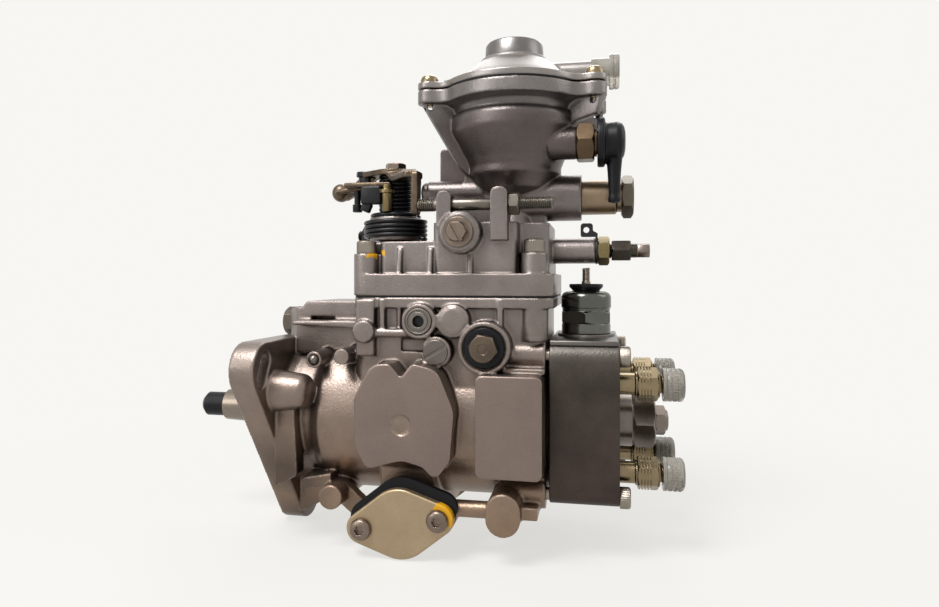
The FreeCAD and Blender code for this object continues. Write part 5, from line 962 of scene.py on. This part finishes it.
class PUMP_OT_sides(bpy.types.Operator):
    """Makes the timing cover plates, their screws, the pivot bolts and the blanking plugs."""
    bl_idname = "pump.sides"
    bl_label = "Timing covers, pivot bolts and plugs"

    def execute(self, context):
        covers = cast_copy("timing_covers", "timing_plates", "grey_zinc", 0.35, passes=2)
        stands_for(covers, "timing_covers", smooth=60)
        screw = pan_head(5.2, 3.2, 2.5, 14.0)
        ends = []
        for side in (-1, 1):
            x = TIMING_X + side * TIMING_REACH * cos(TIMING_TILT)
            z = TIMING_Z + side * TIMING_REACH * sin(TIMING_TILT)
            ends += [("-y", (x, -TIMING_FACE, z)), ("+y", (x, TIMING_FACE, z))]
        stands_for(laid_out(screw, "lobed_screws", ends), "timing_cover_screws", "screw_tan")

        head = hexagonal(12.4, 43.4, 48.0, 1.2, 0.35)
        shaped(head, turned([(47.4, 2.6), (49.0, 2.6)], 32))
        shank = turned([(7.5, 3.7), (8.0, 4.0), (28.0, 4.0), (28.0, 5.0), (43.0, 5.0)], 32)
        metal_bolt = painted(joined([head, shank], "bolt"), "bolt_steel")
        seal = turned([(42.5, 9.2), (42.7, 9.6), (43.2, 9.6), (43.5, 9.2), (43.5, 6.9)], 64)
        bolt = joined([metal_bolt, painted(seal, "black_rubber")], "bolt")
        bolts = laid_out(bolt, "pivot_bolts_turned", [(side, (118.0, 0, 39.0)) for side in ("-y", "+y")])
        stands_for(bolts, "lever_pivot_bolts")

        ring = turned([(33.0, 3.0), (38.0, 3.18), (38.0, 6.4), (42.3, 6.4), (42.6, 6.1), (42.6, 5.5),
                       (42.0, 5.3), (42.0, 4.6), (42.6, 4.4), (42.6, 3.4)], 64)
        shaped(ring, turned([(39.0, 2.7), (44.0, 2.9)], 40))
        bore = painted(turned([(38.9, 2.6), (40.2, 2.6), (40.3, 1.2)], 40), "spring_steel")
        ring = move_mesh(joined([painted(ring, "plug_grey"), bore], "ring"), "-y", (86.0, 0, 51.2))
        disc = turned([(41.0, 6.0), (41.9, 6.0), (42.1, 5.7)], 56)
        shaped(disc, block((16.0, 1.5, 1.2), (0, 0, 42.3), (0, 0, radians(30))))
        disc = painted(move_mesh(disc, "-y", (94.2, 0, 36.5)), "plug_grey")
        bpy.ops.mesh.primitive_uv_sphere_add(segments=32, ring_count=16, radius=2.65 * MM,
                                             location=(31.3 * MM, -38.3 * MM, 31.3 * MM))
        ball = painted(just_added(), "plug_steel")
        inlet = hexagonal(14.0, 0.6, 7.0, 0.9)
        inlet = joined([inlet, turned([(0.0, 8.3), (0.7, 8.3), (0.7, 7.0)], 48),
                        turned([(-11.0, 4.95), (0.1, 4.95)], 32)], "inlet")
        inlet = painted(move_mesh(inlet, "-x", (6.0, 0, 48.0)), "plug_brown")
        stands_for(joined([ring, disc, ball, inlet], "plugs_turned"), "blanking_plugs")
        return {"FINISHED"}


class PUMP_OT_stage(bpy.types.Operator):
    """Adds the floor, the soft lights, the white surroundings and the camera."""
    bl_idname = "pump.stage"
    bl_label = "Stage"

    def execute(self, context):
        build_floor()
        build_lights()
        build_world(context.scene)
        build_camera(context.scene)
        context.scene.view_settings.view_transform = "Standard"
        return {"FINISHED"}


FLOOR_TONE = (0.93, 0.922, 0.89, 1.0)


def background_rays(tree):
    """1 for the rays that see the background: camera, glossy and transmission."""
    path = add_node(tree, "ShaderNodeLightPath").outputs
    return largest(tree, [path["Is Camera Ray"], path["Is Glossy Ray"], path["Is Transmission Ray"]])


def build_floor():
    """A pale floor that keeps the shadow below the pump and turns into the background further out."""
    bottom = CAD_BOX[0][2]
    bpy.ops.mesh.primitive_plane_add(size=8.0, location=(0, 0, bottom - 0.5 * MM))
    floor = bpy.context.object
    floor.name = "floor"
    material = bpy.data.materials.new("floor")
    material.use_nodes = True
    tree = material.node_tree
    tree.nodes.clear()
    ground = add_node(tree, "ShaderNodeBsdfDiffuse", inputs={"Color": (0.7, 0.69, 0.66, 1)})
    pale = add_node(tree, "ShaderNodeEmission", inputs={"Color": FLOOR_TONE})
    away = distance_to(tree, object_place(tree), (100.0, 0.0, 0.0))
    spread = add_node(tree, "ShaderNodeMapRange", inputs={
        "Value": away, "From Min": 0.0, "From Max": 0.42, "To Min": 0.72, "To Max": 1.0},
        interpolation_type="SMOOTHSTEP")
    seen = add_node(tree, "ShaderNodeMath", inputs={0: spread.outputs[0], 1: background_rays(tree)},
                    operation="MULTIPLY")
    mix = add_node(tree, "ShaderNodeMixShader", inputs={
        "Fac": seen.outputs[0], 1: ground.outputs[0], 2: pale.outputs[0]})
    add_node(tree, "ShaderNodeOutputMaterial", inputs={"Surface": mix.outputs[0]})
    floor.data.materials.append(material)


def build_lights():
    for name, place, aim, size, power in (
        ("top light", (-0.2, -0.5, 0.95), (0.08, 0, 0.04), 0.45, 13.0),
        ("front light", (-0.75, -0.9, 0.5), (0.08, 0, 0.03), 0.6, 3.5),
        ("side light", (0.9, 0.1, 0.6), (0.1, 0, 0.05), 0.5, 1.5),
        ("back light", (0.1, 0.75, 0.9), (0.1, 0, 0.1), 0.7, 5.0),
    ):
        data = bpy.data.lights.new(name, "AREA")
        data.size = size
        data.energy = power
        light = bpy.data.objects.new(name, data)
        light.location = place
        light.rotation_euler = (Vector(aim) - Vector(place)).to_track_quat("-Z", "Y").to_euler()
        bpy.context.scene.collection.objects.link(light)


def build_world(scene):
    """Soft light from all round; camera, glossy and transmission rays see the pale background."""
    world = bpy.data.worlds.new("surroundings")
    scene.world = world
    world.use_nodes = True
    tree = world.node_tree
    tree.nodes.clear()
    soft = add_node(tree, "ShaderNodeBackground", inputs={"Color": (0.95, 0.93, 0.9, 1), "Strength": 0.12})
    pale = add_node(tree, "ShaderNodeBackground", inputs={"Color": FLOOR_TONE, "Strength": 1.0})
    mix = add_node(tree, "ShaderNodeMixShader", inputs={
        "Fac": background_rays(tree), 1: soft.outputs[0], 2: pale.outputs[0]})
    add_node(tree, "ShaderNodeOutputWorld", inputs={"Surface": mix.outputs[0]})


CAMERA_X = 0.170
CAMERA_TURN = radians(10.8)
FOCAL_PIXELS = 670.0
FRAME_WIDTH = 939
FRAME_HEIGHT = 607
HORIZON_PIXEL = 280.0


def build_camera(scene):
    sizes = scene.pump_sizes
    data = bpy.data.cameras.new("camera")
    camera = bpy.data.objects.new("camera", data)
    scene.collection.objects.link(camera)
    camera.location = (CAMERA_X, -sizes.camera_distance, sizes.camera_height)
    camera.rotation_euler = (pi / 2, 0, CAMERA_TURN)
    data.sensor_width = 36.0
    data.lens = FOCAL_PIXELS * data.sensor_width / FRAME_WIDTH
    data.shift_y = -(FRAME_HEIGHT / 2 - HORIZON_PIXEL) / FRAME_WIDTH
    data.clip_start = 0.01
    scene.camera = camera


BUILDERS = [PUMP_OT_finishes, PUMP_OT_castings, PUMP_OT_boost, PUMP_OT_head, PUMP_OT_outlets,
            PUMP_OT_solenoid, PUMP_OT_adjusters, PUMP_OT_guide, PUMP_OT_lever, PUMP_OT_sides, PUMP_OT_stage]
CLASSES = [PumpColours, PumpSizes] + BUILDERS


class PUMP_PT_panel(bpy.types.Panel):
    """Lists the pump's builders in the sidebar."""
    bl_idname = "PUMP_PT_panel"
    bl_label = "Injection pump"
    bl_space_type = "VIEW_3D"
    bl_region_type = "UI"
    bl_category = "Pump"

    def draw(self, context):
        for each in BUILDERS:
            self.layout.operator(each.bl_idname)
        for group in (context.scene.pump_colours, context.scene.pump_sizes):
            for name in group.bl_rna.properties.keys():
                if name not in ("rna_type", "name"):
                    self.layout.prop(group, name)


def register():
    for each in CLASSES:
        bpy.utils.register_class(each)
    bpy.utils.register_class(PUMP_PT_panel)
    bpy.types.Scene.pump_colours = bpy.props.PointerProperty(type=PumpColours)
    bpy.types.Scene.pump_sizes = bpy.props.PointerProperty(type=PumpSizes)


def unregister():
    del bpy.types.Scene.pump_sizes
    del bpy.types.Scene.pump_colours
    bpy.utils.unregister_class(PUMP_PT_panel)
    for each in reversed(CLASSES):
        bpy.utils.unregister_class(each)


def main():
    register()
    bpy.ops.pump.finishes()
    bpy.ops.pump.castings()
    bpy.ops.pump.boost()
    bpy.ops.pump.head()
    bpy.ops.pump.outlets()
    bpy.ops.pump.solenoid()
    bpy.ops.pump.adjusters()
    bpy.ops.pump.guide()
    bpy.ops.pump.lever()
    bpy.ops.pump.sides()
    bpy.ops.pump.stage()


if __name__ == "__main__":
    main()
